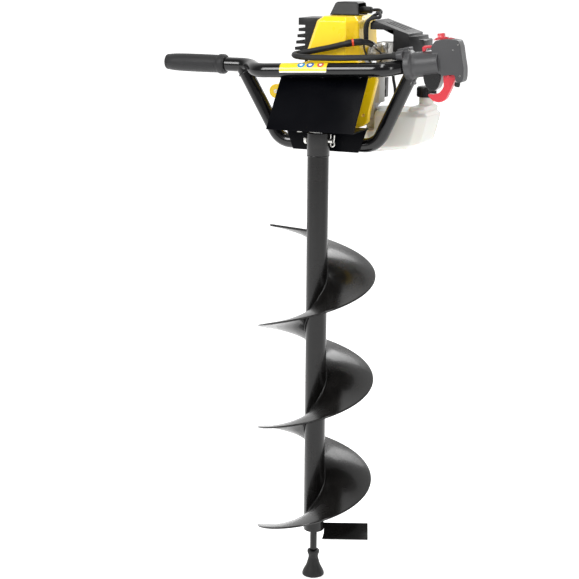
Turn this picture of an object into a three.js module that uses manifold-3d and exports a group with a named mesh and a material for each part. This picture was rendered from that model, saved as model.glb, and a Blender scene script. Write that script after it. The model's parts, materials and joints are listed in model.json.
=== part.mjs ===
// One-man petrol earth and ice auger: an engine on a two-handed tube frame drives a vertical
// auger through a two-stage gearbox. Millimetres, +Z up, +X to the throttle hand, +Y away from
// the user's guard plate. The origin is the middle of the rubber foot's flat base.
import * as THREE from 'three';
import { mergeVertices } from 'three/addons/utils/BufferGeometryUtils.js';
import Module from 'manifold-3d';

const wasm = await Module();
wasm.setup();

// ---------------------------------------------------------------- driving dimensions

const gap = 0.3; // between faces that touch on the real machine
const slip = 0.4; // radial clearance of a shaft in a plain hole

const footCap = { drop: 86, height: 47, baseRadius: 19.5, topRadius: 10.6, neckRadius: 8.6, floor: 9 };
const pilot = { radius: 6.2, tipRadius: 2.2, taper: 14 };
const auger = { tubeRadius: 18, tubeWall: 3, tubeLength: 666, flightRadius: 100, pitch: 182.5 };
const flight = { thickness: 4, startTurn: -878, endTurn: 167, stepDegrees: 11 };
const flightRise = 451.45; // from the tube's lower end to where the flight crosses +X
const blade = { length: 78, width: 30, thickness: 5, tilt: 52, bearing: 22, drop: 4 };
const hub = { room: 44, radius: 19, spigot: 26, height: 38, pinHeight: 25 };
const pin = { radius: 4, head: 7, headHeight: 5, reach: 6.5 };
const clip = { wire: 1.3, length: 22, offset: 3, bow: 6.6 };

const shelf = { height: 796, thickness: 2.5, halfWidth: 77, front: -42, back: 30.4 };
const guard = { top: 892, topY: 30.9, underBar: 3 };
const hanger = { thickness: 2.5, drop: 40, topHalf: 74, bottomHalf: 59 };

const outputShaft = { radius: 10, seatRadius: 8 };
const bearing = { wall: 5, width: 7.6 };
const coverPlate = { thickness: 3, halfWidth: 30, front: -26, boss: 7 };
const bevel = { module: 1.3, wheelTeeth: 32, pinionTeeth: 8, face: 5, hubHeight: 4 };
const crownTooth = { rootHalf: 0.68, tipHalf: 0.24, tip: 0.58 };
const pinionTooth = { rootHalf: 0.64, tipHalf: 0.25, tip: 0.8, root: 1.15 };
const gearbox = { wall: 3, back: 34.7, roof: 829, noseHeight: 808, noseTop: -9 };
const spur = { pinionTeeth: 12, gearTeeth: 24, face: 6, start: 40.5 };
const counterShaft = { radius: 4.5 };
const transfer = { front: 35, back: 51, wall: 2.5, cover: 2.6 };
const crank = { height: 850, radius: 8, throw: 16, webRadius: 24, webWidth: 6, pinRadius: 5 };
const clutch = { radius: 20, wall: 2, width: 14, start: 57.7, shoeInner: 9 };
const fan = { radius: 46, disc: 4, blade: 9, hub: 12, start: 77, blades: 12 };
const fanHousing = { front: 54.2, depth: 43, wall: 3, flange: 12 };
const knob = { radius: 12, length: 20, x: -102, z: 849 };
const crankcase = { radius: 38, depth: 62, sideReach: 70, sideDepth: 30 };
const cylinder = { radius: 26, bore: 22, finRadius: 31, fins: 5, base: 889, height: 58 };
const piston = { height: 26, wall: 3, top: 938 };
const rod = { width: 12, thickness: 8, endRadius: 9 };
const plug = { radius: 6, length: 22, tip: 3 };

const shroud = { front: 60, back: 168, floor: 911, top: 977, wall: 3 };
const shroudPlan = { left: -53, topLeft: -30, right: 41, bevelX: 22, bevelY: 80 };
const topCover = { left: -25, right: 28, front: 106, back: 151, height: 22, wall: 2.5 };
const muffler = { left: -60, right: -36, front: 92, back: 146, floor: 905, top: 958 };
const mufflerGuard = { wall: 3.2, rib: 5.2, ribPitch: 10.6, ribs: 5, left: -74, step: 2.2, cap: 12 };
const guardSide = { solidLeft: -62, lowRight: -58, highRight: -39, drop: 8, post: 6 };
const carb = { left: 60, right: 90, front: 108, back: 142, floor: 898, top: 938, axis: 912 };
const carbLever = { length: 24, width: 9, thickness: 3, post: 3 };
const filter = { left: 54, right: 140, front: 92, back: 168, floor: 920, top: 971, rightTop: 940 };
const filterBox = { left: 95, lidDrop: 15, base: 3, lidRight: 122, lidEdge: 950, ledge: 946 };
const filterCorner = { width: 17, depth: 33 };
const filterWall = 2.5;
const tank = { left: 42, right: 157, front: 84, back: 188, floor: 747, top: 821, wall: 3, rise: 16 };
const tankShoulder = { left: 122, height: 8, inset: 5, corner: 7 };
const tankNotch = { right: 67, back: 115, floor: 788 };
const neck = { x: 137.5, y: 150, radius: 12.5, top: 852, wall: 3 };
const fuelCap = { radius: 17, height: 18 };
const starter = { radius: 50, depth: 30, wall: 3, pulleyRadius: 34, pulleyWidth: 10 };
const starterGrip = { radius: 7, length: 34 };

const frameTube = { radius: 12, wall: 2, plane: 46 };
const lowerTube = { height: 767, bend: 34, leftBottom: 88, leftTop: 160, rightBottom: 86,
  rightTop: 150 };
const handle = { height: 892, inner: 106, rightRise: 7.5, rightHeight: 898 };
const bar = { plane: 10, left: 118, right: 110, sweep: 28, bend: 34, leftHeight: 887,
  rightHeight: 897 };
const leftGrip = { inner: 191, outer: 306, wall: 4.4, endWall: 1.4, end: 4 };
const throttle = { flangeStart: 30, flangeWidth: 13, barrelWall: 8, barrelEnd: 88, headEnd: 128 };
const throttleHead = { half: 13, top: 37, tubeDepth: 82 };
const trigger = { pivotX: 101, pivotZ: -22, thickness: 12, post: 3 };
const lock = { start: 60, end: 85.5, width: 8 };
const stopSwitch = { middle: 96, width: 10, height: 46.5 };
const conduit = { radius: 5.2 };
const gland = { out: 5, up: 6 };

// ---------------------------------------------------------------- colours and finishes

const finish = (color, roughness, metalness = 0) =>
  new THREE.MeshStandardMaterial({ color, roughness, metalness });
const gloss = finish(0x101114, 0.25);
const augerBlack = finish(0x1b1a1a, 0.35);
const plateBlack = finish(0x0a0b0f, 0.4);
const yellow = finish(0xf2cf12, 0.35);
const red = finish(0xd8343f, 0.4);
const darkGrey = finish(0x4a4a4d, 0.6);
const blackPlastic = finish(0x1a1a1c, 0.55);
const rubber = finish(0x161616, 0.85);
const aluminium = finish(0xa8a8a6, 0.45, 0.8);
const steel = finish(0x9a9a9c, 0.3, 1);
const tankWhite = finish(0xf0eeea, 0.45);
const foam = finish(0x6b6b52, 0.95);

// ---------------------------------------------------------------- shape helpers

const axes = {
  X: new THREE.Vector3(1, 0, 0),
  Y: new THREE.Vector3(0, 1, 0),
  Z: new THREE.Vector3(0, 0, 1),
};
const rad = THREE.MathUtils.degToRad;

// A closed three.js geometry as a solid that can be joined and cut.
function solid(geometry) {
  const bare = geometry.clone();
  bare.deleteAttribute('normal');
  bare.deleteAttribute('uv');
  const merged = mergeVertices(bare, 1e-4);
  const index = merged.index.array;
  const kept = [];
  for (let i = 0; i < index.length; i += 3) {
    const [a, b, c] = [index[i], index[i + 1], index[i + 2]];
    if (a !== b && b !== c && c !== a) kept.push(a, b, c);
  }
  const build = (triVerts) => new wasm.Manifold(new wasm.Mesh({
    numProp: 3,
    vertProperties: Float32Array.from(merged.attributes.position.array),
    triVerts: Uint32Array.from(triVerts),
  }));
  const made = build(kept);
  if (made.volume() > 0) return made;
  return build(kept.reverse());
}

function geometryOf(shape) {
  const mesh = shape.getMesh();
  const geometry = new THREE.BufferGeometry();
  const positions = new Float32Array(mesh.vertProperties);
  geometry.setAttribute('position', new THREE.BufferAttribute(positions, 3));
  geometry.setIndex(Array.from(mesh.triVerts));
  geometry.computeVertexNormals();
  return geometry;
}

const join = (...shapes) => shapes.reduce((all, shape) => all.add(shape));
const cut = (shape, ...tools) => tools.reduce((left, tool) => left.subtract(tool), shape);
// The biggest body of a cut shape, without any chip that the cuts left loose.
const largest = (shape) => shape.decompose().reduce((a, b) => (a.volume() > b.volume() ? a : b));

// A drawn outline pushed along an axis: along X it is [y, z], along Y [x, z], along Z [x, y].
function prism(axis, outline, from, to) {
  const shape = new THREE.Shape(outline.map(([u, v]) => new THREE.Vector2(u, v)));
  const geometry = new THREE.ExtrudeGeometry(shape, { depth: to - from, bevelEnabled: false });
  if (axis === 'X') {
    geometry.applyMatrix4(new THREE.Matrix4().makeBasis(axes.Y, axes.Z, axes.X));
    return solid(geometry.translate(from, 0, 0));
  }
  if (axis === 'Y') return solid(geometry.rotateX(Math.PI / 2).translate(0, to, 0));
  return solid(geometry.translate(0, 0, from));
}

function box(x0, x1, y0, y1, z0, z1) {
  const geometry = new THREE.BoxGeometry(x1 - x0, y1 - y0, z1 - z0);
  return solid(geometry.translate((x0 + x1) / 2, (y0 + y1) / 2, (z0 + z1) / 2));
}

// A round profile of [radius, height] points turned about an axis through a place.
function turned(axis, profile, place = [0, 0, 0], segments = 18) {
  const points = profile.map(([r, h]) => new THREE.Vector2(r, h));
  const geometry = new THREE.LatheGeometry(points, segments);
  if (axis === 'X') geometry.rotateZ(-Math.PI / 2);
  if (axis === 'Z') geometry.rotateX(Math.PI / 2);
  return solid(geometry.translate(...place));
}

const disc = (axis, radius, from, to, place, segments) =>
  turned(axis, [[0, from], [radius, from], [radius, to], [0, to]], place, segments);

const ring = (axis, outer, inner, from, to, place, segments) =>
  turned(axis, [[inner, from], [outer, from], [outer, to], [inner, to], [inner, from]],
    place, segments);

// A path of straight runs joined by round bends, for a tube that is bent over a former.
class BentPath extends THREE.Curve {
  constructor(corners, bend, bendSteps = 5) {
    super();
    this.stations = [];
    const at = corners.map((c) => new THREE.Vector3(...c));
    const add = (point, direction) => this.stations.push({ point, direction });
    add(at[0], at[1].clone().sub(at[0]).normalize());
    for (let i = 1; i < at.length - 1; i += 1) {
      const into = at[i].clone().sub(at[i - 1]).normalize();
      const out = at[i + 1].clone().sub(at[i]).normalize();
      const turn = into.angleTo(out);
      const normal = into.clone().cross(out).normalize();
      const start = at[i].clone().addScaledVector(into, -bend * Math.tan(turn / 2));
      const toCentre = normal.clone().cross(into);
      const centre = start.clone().addScaledVector(toCentre, bend);
      for (let k = 0; k <= bendSteps; k += 1) {
        const angle = (turn * k) / bendSteps;
        const arm = start.clone().sub(centre).applyAxisAngle(normal, angle);
        add(centre.clone().add(arm), into.clone().applyAxisAngle(normal, angle));
      }
    }
    const last = at.length - 1;
    add(at[last], at[last].clone().sub(at[last - 1]).normalize());
  }

  get steps() { return this.stations.length - 1; }

  station(u) { return this.stations[Math.round(u * this.steps)]; }

  getPointAt(u, target = new THREE.Vector3()) { return target.copy(this.station(u).point); }

  getTangentAt(u, target = new THREE.Vector3()) {
    return target.copy(this.station(u).direction);
  }
}

function sweep(path, steps, radius, sides, bore = 0) {
  const section = new THREE.Shape().absarc(0, 0, radius, 0, 2 * Math.PI);
  if (bore > 0) section.holes.push(new THREE.Path().absarc(0, 0, bore, 0, 2 * Math.PI, true));
  const options = { steps, extrudePath: path, curveSegments: sides / 2, bevelEnabled: false };
  return solid(new THREE.ExtrudeGeometry(section, options));
}

const bentTube = (corners, bend, radius, bore = 0, sides = 12) => {
  const path = new BentPath(corners, bend);
  return sweep(path, path.steps, radius, sides, bore);
};

function cable(points, radius, steps, sides = 8) {
  const curve = new THREE.CatmullRomCurve3(points.map((p) => new THREE.Vector3(...p)));
  curve.curveType = 'centripetal';
  return sweep(curve, steps, radius, sides);
}

// A straight-sided gear outline of four points a tooth, with one tooth on the +v axis.
function gearOutline(teeth, rootRadius, tipRadius, rootHalf, tipHalf) {
  const outline = [];
  for (let i = 0; i < teeth; i += 1) {
    const middle = Math.PI / 2 + (2 * Math.PI * i) / teeth;
    const corners = [[rootRadius, -rootHalf], [tipRadius, -tipHalf], [tipRadius, tipHalf],
      [rootRadius, rootHalf]];
    for (const [r, half] of corners) {
      const angle = middle + half / r;
      outline.push([r * Math.cos(angle), r * Math.sin(angle)]);
    }
  }
  return outline;
}

// Rings of the same number of points stacked into one closed solid.
function loft(rings) {
  const count = rings[0].length;
  const positions = rings.flat(2);
  const index = [];
  const face = rings[0].map(([x, y]) => new THREE.Vector2(x, y));
  const cap = THREE.ShapeUtils.triangulateShape(face, []);
  const topStart = (rings.length - 1) * count;
  for (const [a, b, c] of cap) {
    index.push(a, c, b);
    index.push(topStart + a, topStart + b, topStart + c);
  }
  for (let layer = 0; layer + 1 < rings.length; layer += 1) {
    for (let i = 0; i < count; i += 1) {
      const a = layer * count + i;
      const b = layer * count + ((i + 1) % count);
      index.push(a, b, b + count, a, b + count, a + count);
    }
  }
  const geometry = new THREE.BufferGeometry();
  geometry.setAttribute('position', new THREE.Float32BufferAttribute(positions, 3));
  geometry.setIndex(index);
  return solid(geometry);
}

const machine = new THREE.Group();
const throttleGroup = new THREE.Group();
throttleGroup.position.set(handle.inner, frameTube.plane, handle.rightHeight);
throttleGroup.rotation.y = -rad(handle.rightRise);
machine.add(throttleGroup);

function addPart(name, shape, material, parent = machine) {
  const mesh = new THREE.Mesh(geometryOf(shape), material);
  mesh.name = name;
  parent.add(mesh);
  return mesh;
}

// ---------------------------------------------------------------- auger

// The auger hangs from the gearbox, so a longer tube puts its foot lower and lifts the machine.
const tubeTop = shelf.height - hub.room;
const tubeFoot = tubeTop - auger.tubeLength;
const footBase = tubeFoot - footCap.drop;
const flightZero = tubeFoot + flightRise;
machine.position.z = -footBase;
const tubeBore = auger.tubeRadius - auger.tubeWall;

addPart('foot_cap', turned('Z', [
  [0, 0], [footCap.baseRadius, 0], [footCap.baseRadius, 3], [footCap.baseRadius - 1.5, 8],
  [footCap.baseRadius - 6, 17], [footCap.neckRadius + 1.4, 28], [footCap.neckRadius, 33],
  [footCap.neckRadius, footCap.height - 9], [footCap.topRadius, footCap.height - 5.5],
  [footCap.topRadius, footCap.height - 1], [footCap.topRadius - 1, footCap.height],
  [pilot.radius + gap, footCap.height], [pilot.radius + gap, footCap.floor], [0, footCap.floor],
], [0, 0, footBase], 20), rubber);

const pilotFoot = footBase + footCap.floor + gap;
addPart('pilot_point', turned('Z', [
  [0, pilotFoot], [pilot.tipRadius, pilotFoot], [pilot.radius, pilotFoot + pilot.taper],
  [pilot.radius, tubeFoot - gap], [0, tubeFoot - gap],
], [0, 0, 0], 16), augerBlack);

addPart('auger_tube', turned('Z', [
  [0, tubeFoot], [auger.tubeRadius, tubeFoot], [auger.tubeRadius, tubeTop], [tubeBore, tubeTop],
  [tubeBore, tubeFoot + auger.tubeWall], [0, tubeFoot + auger.tubeWall],
], [0, 0, 0], 22), augerBlack);

// The flight is a right-hand screw surface, flat along every radius.
function flightSolid() {
  const inner = auger.tubeRadius + gap;
  const steps = Math.round((flight.endTurn - flight.startTurn) / flight.stepDegrees);
  const positions = [];
  const index = [];
  for (let i = 0; i <= steps; i += 1) {
    const turn = flight.startTurn + ((flight.endTurn - flight.startTurn) * i) / steps;
    const angle = rad(turn);
    const middle = flightZero + (auger.pitch * turn) / 360;
    const corners = [[inner, -1], [auger.flightRadius, -1], [auger.flightRadius, 1], [inner, 1]];
    for (const [r, side] of corners) {
      const z = middle + (side * flight.thickness) / 2;
      positions.push(r * Math.cos(angle), r * Math.sin(angle), z);
    }
    if (i === 0) continue;
    for (let k = 0; k < 4; k += 1) {
      const a = (i - 1) * 4 + k;
      const b = (i - 1) * 4 + ((k + 1) % 4);
      index.push(a, a + 4, b + 4, a, b + 4, b);
    }
  }
  const end = steps * 4;
  index.push(0, 1, 2, 0, 2, 3, end, end + 2, end + 1, end, end + 3, end + 2);
  const geometry = new THREE.BufferGeometry();
  geometry.setAttribute('position', new THREE.Float32BufferAttribute(positions, 3));
  geometry.setIndex(index);
  return solid(geometry);
}
addPart('auger_flight', flightSolid(), augerBlack);

// The cutter is a flat bar, welded to the tube on the side away from the flight's lower end.
const bladeBar = box(auger.tubeRadius - 6, auger.tubeRadius + blade.length, -blade.width / 2,
  blade.width / 2, -blade.thickness / 2, blade.thickness / 2)
  .rotate([blade.tilt, 0, 0])
  .rotate([0, 0, blade.bearing])
  .translate([0, 0, tubeFoot - blade.drop]);
const tubeClearance = disc('Z', auger.tubeRadius + gap, tubeFoot - 40, tubeFoot + 60, [0, 0, 0], 22);
addPart('cutter_blade', cut(bladeBar, tubeClearance), augerBlack);

// The hub plugs the tube and takes the gearbox's shaft, locked by a cross pin and a clip.
const hubBase = tubeTop + gap;
const hubTop = hubBase + hub.height;
const pinZ = hubBase + hub.pinHeight;
const shaftFoot = hubBase + 6;
const hubBody = join(
  disc('Z', hub.radius, hubBase, hubTop, [0, 0, 0], 22),
  disc('Z', tubeBore - gap, hubBase - hub.spigot, hubBase + 1, [0, 0, 0], 24),
);
const pinHole = disc('X', pin.radius + slip, -40, 40, [0, 0, pinZ], 12);
const shaftSocket = disc('Z', outputShaft.radius + gap, shaftFoot - gap, hubTop + 1, [0, 0, 0], 20);
addPart('auger_hub', cut(hubBody, shaftSocket, pinHole), augerBlack);

const pinStart = -hub.radius - gap;
const clipX = hub.radius + clip.offset;
const clipHole = disc('Z', clip.wire + slip, -9, 9, [clipX, 0, pinZ], 8);
addPart('coupling_pin', cut(join(
  disc('X', pin.head, pinStart - pin.headHeight, pinStart, [0, 0, pinZ], 6),
  disc('X', pin.radius, pinStart - 1, hub.radius + pin.reach, [0, 0, pinZ], 12),
), clipHole), steel);

// The clip's straight leg goes up through the pin and its bowed leg springs round the end.
const clipTop = pinZ + clip.length / 2;
const clipFoot = pinZ - clip.length / 2;
addPart('hitch_clip', cable([
  [clipX, 0, clipTop], [clipX, 0, pinZ], [clipX, 0, clipFoot + 4], [clipX + 1.8, 0, clipFoot + 0.8],
  [clipX + 4.6, 0, clipFoot + 1.6], [clipX + clip.bow, 0, pinZ - 6],
  [clipX + clip.bow - 0.8, 0, pinZ - 1], [clipX + clip.bow - 0.6, 0, pinZ + 3],
  [clipX + clip.bow, 0, clipTop - 1],
], clip.wire, 22, 6), steel);

// ---------------------------------------------------------------- output stage of the gearbox

const coverFloor = shelf.height + shelf.thickness + gap;
const coverTop = coverFloor + coverPlate.thickness;
const bossFloor = coverFloor - coverPlate.boss;
const bossRadius = outputShaft.radius + bearing.wall + 3;
const bearingFloor = coverTop - bearing.width;
const bearingRadius = outputShaft.radius + bearing.wall;
const housingFloor = coverTop + gap;
const wheelFloor = housingFloor + 0.6;
const toothRoot = wheelFloor + bevel.hubHeight;
const pitchPlane = toothRoot + 1.1 * bevel.module;
const wheelPitch = (bevel.module * bevel.wheelTeeth) / 2;
const pinionPitch = (bevel.module * bevel.pinionTeeth) / 2;
const counterZ = pitchPlane + pinionPitch;
const wheelRadius = wheelPitch + 1.2;

addPart('output_shaft', cut(join(
  disc('Z', outputShaft.radius, shaftFoot, wheelFloor - gap, [0, 0, 0], 20),
  disc('Z', outputShaft.seatRadius, wheelFloor - 1, toothRoot + 3, [0, 0, 0], 20),
), pinHole), steel);
addPart('output_bearing', ring('Z', bearingRadius, outputShaft.radius + slip / 2, bearingFloor,
  coverTop - 0.2), steel);

const boltX = coverPlate.halfWidth - 5;
const gearboxBolts = [[-boltX, -20], [boltX, 24]];
const boltRadius = 2.5;
const boltTop = housingFloor + 6;
const boltHoles = gearboxBolts.map(([x, y]) =>
  disc('Z', boltRadius + slip, bossFloor - 9, boltTop + gap, [x, y, 0], 10));

addPart('gearbox_bottom_cover', cut(join(
  box(-coverPlate.halfWidth, coverPlate.halfWidth, coverPlate.front, gearbox.back, coverFloor,
    coverTop),
  disc('Z', bossRadius, bossFloor, coverFloor + 1),
), disc('Z', bearingRadius + gap, bearingFloor - gap, coverTop + 1),
disc('Z', outputShaft.radius + slip, bossFloor - 1, coverTop), ...boltHoles), aluminium);

// Straight-sided crown teeth stand on the wheel's rim and mesh with the small pinion above.
function bevelWheel() {
  const disk = ring('Z', wheelRadius, outputShaft.seatRadius + gap, wheelFloor, toothRoot);
  const { rootHalf, tipHalf } = crownTooth;
  const base = toothRoot - 0.4;
  const tip = pitchPlane + bevel.module * crownTooth.tip;
  const teeth = [];
  for (let i = 0; i < bevel.wheelTeeth; i += 1) {
    const angle = ((i + 0.5) * 360) / bevel.wheelTeeth;
    const profile = [[-rootHalf, base], [rootHalf, base], [tipHalf, tip], [-tipHalf, tip]];
    teeth.push(prism('Y', profile, wheelRadius - bevel.face, wheelRadius - 0.2)
      .rotate([0, 0, angle]));
  }
  return join(disk, ...teeth);
}
addPart('bevel_wheel', bevelWheel(), steel);

const pinionFront = wheelRadius - bevel.face - 0.3;
const pinionBack = wheelRadius + 0.6;
const pinionTip = pinionPitch + bevel.module * pinionTooth.tip;
const pinionRoot = pinionPitch - bevel.module * pinionTooth.root;
const pinionTeeth = gearOutline(bevel.pinionTeeth, pinionRoot, pinionTip, pinionTooth.rootHalf,
  pinionTooth.tipHalf).map(([x, z]) => [x, counterZ - z]);
const spurEnd = spur.start + spur.face;
const transferFloor = transfer.front + transfer.wall;
addPart('countershaft', join(
  prism('Y', pinionTeeth, pinionFront, pinionBack),
  disc('Y', counterShaft.radius, pinionBack - 1, spur.start, [0, 0, counterZ], 14),
  disc('Y', counterShaft.radius - 1, spur.start - 1, transfer.back - 1.2, [0, 0, counterZ], 14),
), steel);

// ---------------------------------------------------------------- gearbox and transfer case

const nose = coverPlate.front;
const housingOutline = [[nose, housingFloor], [gearbox.back, housingFloor],
  [gearbox.back, gearbox.roof], [gearbox.noseTop, gearbox.roof], [nose, gearbox.noseHeight]];
const chamber = disc('Z', wheelRadius + 0.9, housingFloor - 1, pitchPlane + 3.6);
const tunnel = box(-pinionTip - 2, pinionTip + 2, 4, gearbox.back - gearbox.wall, toothRoot,
  counterZ + pinionTip + 1.5);
addPart('gearbox_housing', cut(
  prism('X', housingOutline, -coverPlate.halfWidth, coverPlate.halfWidth),
  chamber, tunnel,
  disc('Y', counterShaft.radius + slip, gearbox.back - 9, gearbox.back + 1, [0, 0, counterZ], 16),
  ...boltHoles,
), aluminium);

gearboxBolts.forEach(([x, y], i) => {
  addPart(`gearbox_bolt_${i + 1}`, join(
    disc('Z', boltRadius, shelf.height - 1, boltTop, [x, y, 0], 10),
    disc('Z', boltRadius + 2, shelf.height - gap - 3.5, shelf.height - gap, [x, y, 0], 6),
  ), steel);
});

const spurModule = (2 * (crank.height - counterZ)) / (spur.pinionTeeth + spur.gearTeeth);
const gearPitch = (spurModule * spur.gearTeeth) / 2;
const drivePitch = (spurModule * spur.pinionTeeth) / 2;
const tooth = { add: spurModule * 0.85, root: spurModule * 1.15 };
const toothHalf = { root: spurModule * 0.62, tip: spurModule * 0.28 };

// The gear has a tooth on its top line and the pinion a space on its bottom line.
const gearOutlineAt = (teeth, pitch, centreZ, turnDegrees) =>
  gearOutline(teeth, pitch - tooth.root, pitch + tooth.add, toothHalf.root, toothHalf.tip)
    .map(([u, v]) => {
      const a = rad(turnDegrees);
      const x = u * Math.cos(a) - v * Math.sin(a);
      return [x, centreZ + u * Math.sin(a) + v * Math.cos(a)];
    });
addPart('countershaft_gear', cut(
  prism('Y', gearOutlineAt(spur.gearTeeth, gearPitch, counterZ, 0), spur.start + gap, spurEnd),
  disc('Y', counterShaft.radius - 1 + gap, spur.start - 1, spurEnd + 1, [0, 0, counterZ], 14),
), steel);

const driveTurn = 180 + 180 / spur.pinionTeeth;
const driveRadius = 6;
addPart('drive_pinion', join(
  prism('Y', gearOutlineAt(spur.pinionTeeth, drivePitch, crank.height, driveTurn),
    spur.start + gap, spurEnd),
  disc('Y', driveRadius, spurEnd - 1, clutch.start - gap, [0, 0, crank.height], 16),
  disc('Y', driveRadius - 1, transferFloor + gap, spur.start + 1, [0, 0, crank.height], 16),
), steel);

// Two circles joined by their outer tangents, as an outline of [x, z] points.
function eggOutline(lowRadius, highRadius, lowZ, highZ) {
  const lean = Math.asin((lowRadius - highRadius) / (highZ - lowZ));
  const outline = [];
  const steps = 10;
  for (let i = 0; i <= steps; i += 1) {
    const angle = lean + ((Math.PI - 2 * lean) * i) / steps;
    outline.push([highRadius * Math.cos(angle), highZ + highRadius * Math.sin(angle)]);
  }
  for (let i = 0; i <= steps + 4; i += 1) {
    const angle = Math.PI - lean + ((Math.PI + 2 * lean) * i) / (steps + 4);
    outline.push([lowRadius * Math.cos(angle), lowZ + lowRadius * Math.sin(angle)]);
  }
  return outline;
}
const gearTip = gearPitch + tooth.add + 0.9;
const driveTip = drivePitch + tooth.add + 0.9;
const caseOutline = eggOutline(gearTip + transfer.wall, driveTip + transfer.wall, counterZ,
  crank.height);
const caseHollow = eggOutline(gearTip, driveTip, counterZ, crank.height);
addPart('transfer_case', cut(
  prism('Y', caseOutline, transfer.front, transfer.back),
  prism('Y', caseHollow, transferFloor, transfer.back + 1),
  disc('Y', counterShaft.radius + slip, transfer.front - 1, transferFloor + 1,
    [0, 0, counterZ], 16),
), aluminium);
const coverBack = transfer.back + gap + transfer.cover;
addPart('transfer_cover', cut(
  prism('Y', caseOutline, transfer.back + gap, coverBack),
  disc('Y', driveRadius + slip, transfer.back - 1, coverBack + 1, [0, 0, crank.height], 16),
), aluminium);

// ---------------------------------------------------------------- clutch, fan and crank

const onCrank = [0, 0, crank.height];
const clutchEnd = clutch.start + clutch.width;
addPart('clutch_drum', turned('Y', [
  [0, clutch.start], [clutch.radius, clutch.start], [clutch.radius, clutchEnd],
  [clutch.radius - clutch.wall, clutchEnd],
  [clutch.radius - clutch.wall, clutch.start + clutch.wall], [0, clutch.start + clutch.wall],
], onCrank), steel);

const shoeRing = ring('Y', clutch.radius - clutch.wall - 0.6, clutch.shoeInner,
  clutch.start + 3.5, clutchEnd - 0.5, onCrank);
const shoeSplit = box(-1.2, 1.2, clutch.start, clutchEnd, crank.height, crank.height + 30);
addPart('clutch_shoes', cut(shoeRing, shoeSplit), steel);

const fanEnd = fan.start + fan.disc;
function flywheelFan() {
  const blades = [];
  for (let i = 0; i < fan.blades; i += 1) {
    const angle = (i * 360) / fan.blades;
    blades.push(box(-1.2, 1.2, fanEnd - 0.5, fanEnd + fan.blade, 22, fan.radius - 1)
      .rotate([0, angle, 0]).translate(onCrank));
  }
  const disk = turned('Y', [
    [crank.radius + gap, fan.start], [fan.radius, fan.start], [fan.radius, fanEnd],
    [fan.hub + 3, fanEnd], [fan.hub, fanEnd + fan.blade], [crank.radius + gap, fanEnd + fan.blade],
    [crank.radius + gap, fan.start],
  ], onCrank, 22);
  return join(disk, ...blades);
}
addPart('flywheel_fan', flywheelFan(), aluminium);

const housingEnd = fanHousing.front + fanHousing.depth;
const flangeOutline = [[-52, 900], [-24, 908], [40, 908], [78, 892], [81, 874], [68, 822],
  [66, 804], [54, 796], [-34, 793], [-62, 806], [-84, 834], [-98, 838], [-98, 860], [-76, 882]];
const scrollOutline = [[-52, 900], [-24, 908], [36, 908], [60, 890], [64, 871], [53, 824],
  [52, 797], [46, 793], [-34, 793], [-60, 806], [-78, 834], [-82, 860], [-70, 882]];
const fanHollow = fan.radius + 4;
const caseStart = housingEnd + gap;
const caseEnd = caseStart + crankcase.depth;
const flangeBack = fanHousing.front + fanHousing.flange;
addPart('fan_housing', cut(
  join(
    prism('Y', flangeOutline, fanHousing.front, flangeBack),
    prism('Y', scrollOutline, flangeBack - 1, housingEnd),
    disc('Y', knob.radius, fanHousing.front, fanHousing.front + knob.length, [knob.x, 0, knob.z], 24),
  ),
  disc('Y', fanHollow, fanHousing.front + fanHousing.wall, housingEnd + 1, onCrank, 22),
  disc('Y', clutch.radius + 2, fanHousing.front - 1, housingEnd, onCrank, 24),
  disc('Y', 3, fanHousing.front - 1, flangeBack + 1, [58.5, 0, 816], 12),
), yellow);

const cylinderY = (caseStart + caseEnd) / 2;
const webFront = cylinderY - 6 - crank.webWidth;
const webBack = cylinderY + 6;
const bearingWidth = 7;
const crankBearing = crank.radius + 7;
const caseRoof = cylinder.base - gap;
const caseBody = join(
  disc('Y', crankcase.radius, caseStart, caseEnd, onCrank, 22),
  box(-33, 33, caseStart, caseEnd, crank.height, caseRoof),
  box(26, 62, caseStart, caseStart + 14, crank.height - 44, crank.height + 26),
  box(26, crankcase.sideReach, caseStart + 2, caseStart + crankcase.sideDepth, tank.top + 12,
    crank.height + 28),
  box(-36, 36, caseStart + 6, caseEnd - 6, crank.height - 52, crank.height - 30),
);
addPart('crankcase', cut(caseBody,
  disc('Y', crank.webRadius + 3, caseStart + bearingWidth + 4, caseEnd - bearingWidth - 4,
    onCrank, 20),
  disc('Z', cylinder.bore + 1, crank.height, caseRoof + 1, [0, cylinderY, 0], 18),
  disc('Y', crankBearing + gap, caseStart - 1, caseStart + bearingWidth + 1, onCrank, 20),
  disc('Y', crankBearing + gap, caseEnd - bearingWidth - 1, caseEnd + 1, onCrank, 20),
  disc('Y', crank.radius + 2, caseStart - 1, caseEnd + 1, onCrank, 20),
), aluminium);

addPart('crank_bearing_front', ring('Y', crankBearing, crank.radius + slip / 2, caseStart + 0.5,
  caseStart + bearingWidth, onCrank, 20), steel);
addPart('crank_bearing_rear', ring('Y', crankBearing, crank.radius + slip / 2,
  caseEnd - bearingWidth, caseEnd - 0.5, onCrank, 20), steel);

const crankFront = clutch.start + clutch.wall + 1;
const crankBack = caseEnd + 12;
const crankPin = [0, 0, crank.height + crank.throw];
addPart('crankshaft', join(
  disc('Y', crank.radius - 1, crankFront, webFront + 1, onCrank, 20),
  disc('Y', crank.radius, fan.start - 3, webFront + 1, onCrank, 20),
  disc('Y', crank.webRadius, webFront, webFront + crank.webWidth, onCrank, 24),
  disc('Y', crank.pinRadius, webFront + 1, webBack + 1, crankPin, 14),
  disc('Y', crank.webRadius, webBack, webBack + crank.webWidth, onCrank, 24),
  disc('Y', crank.radius, webBack + 1, crankBack, onCrank, 20),
), steel);

// ---------------------------------------------------------------- cylinder, piston and plug

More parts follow.
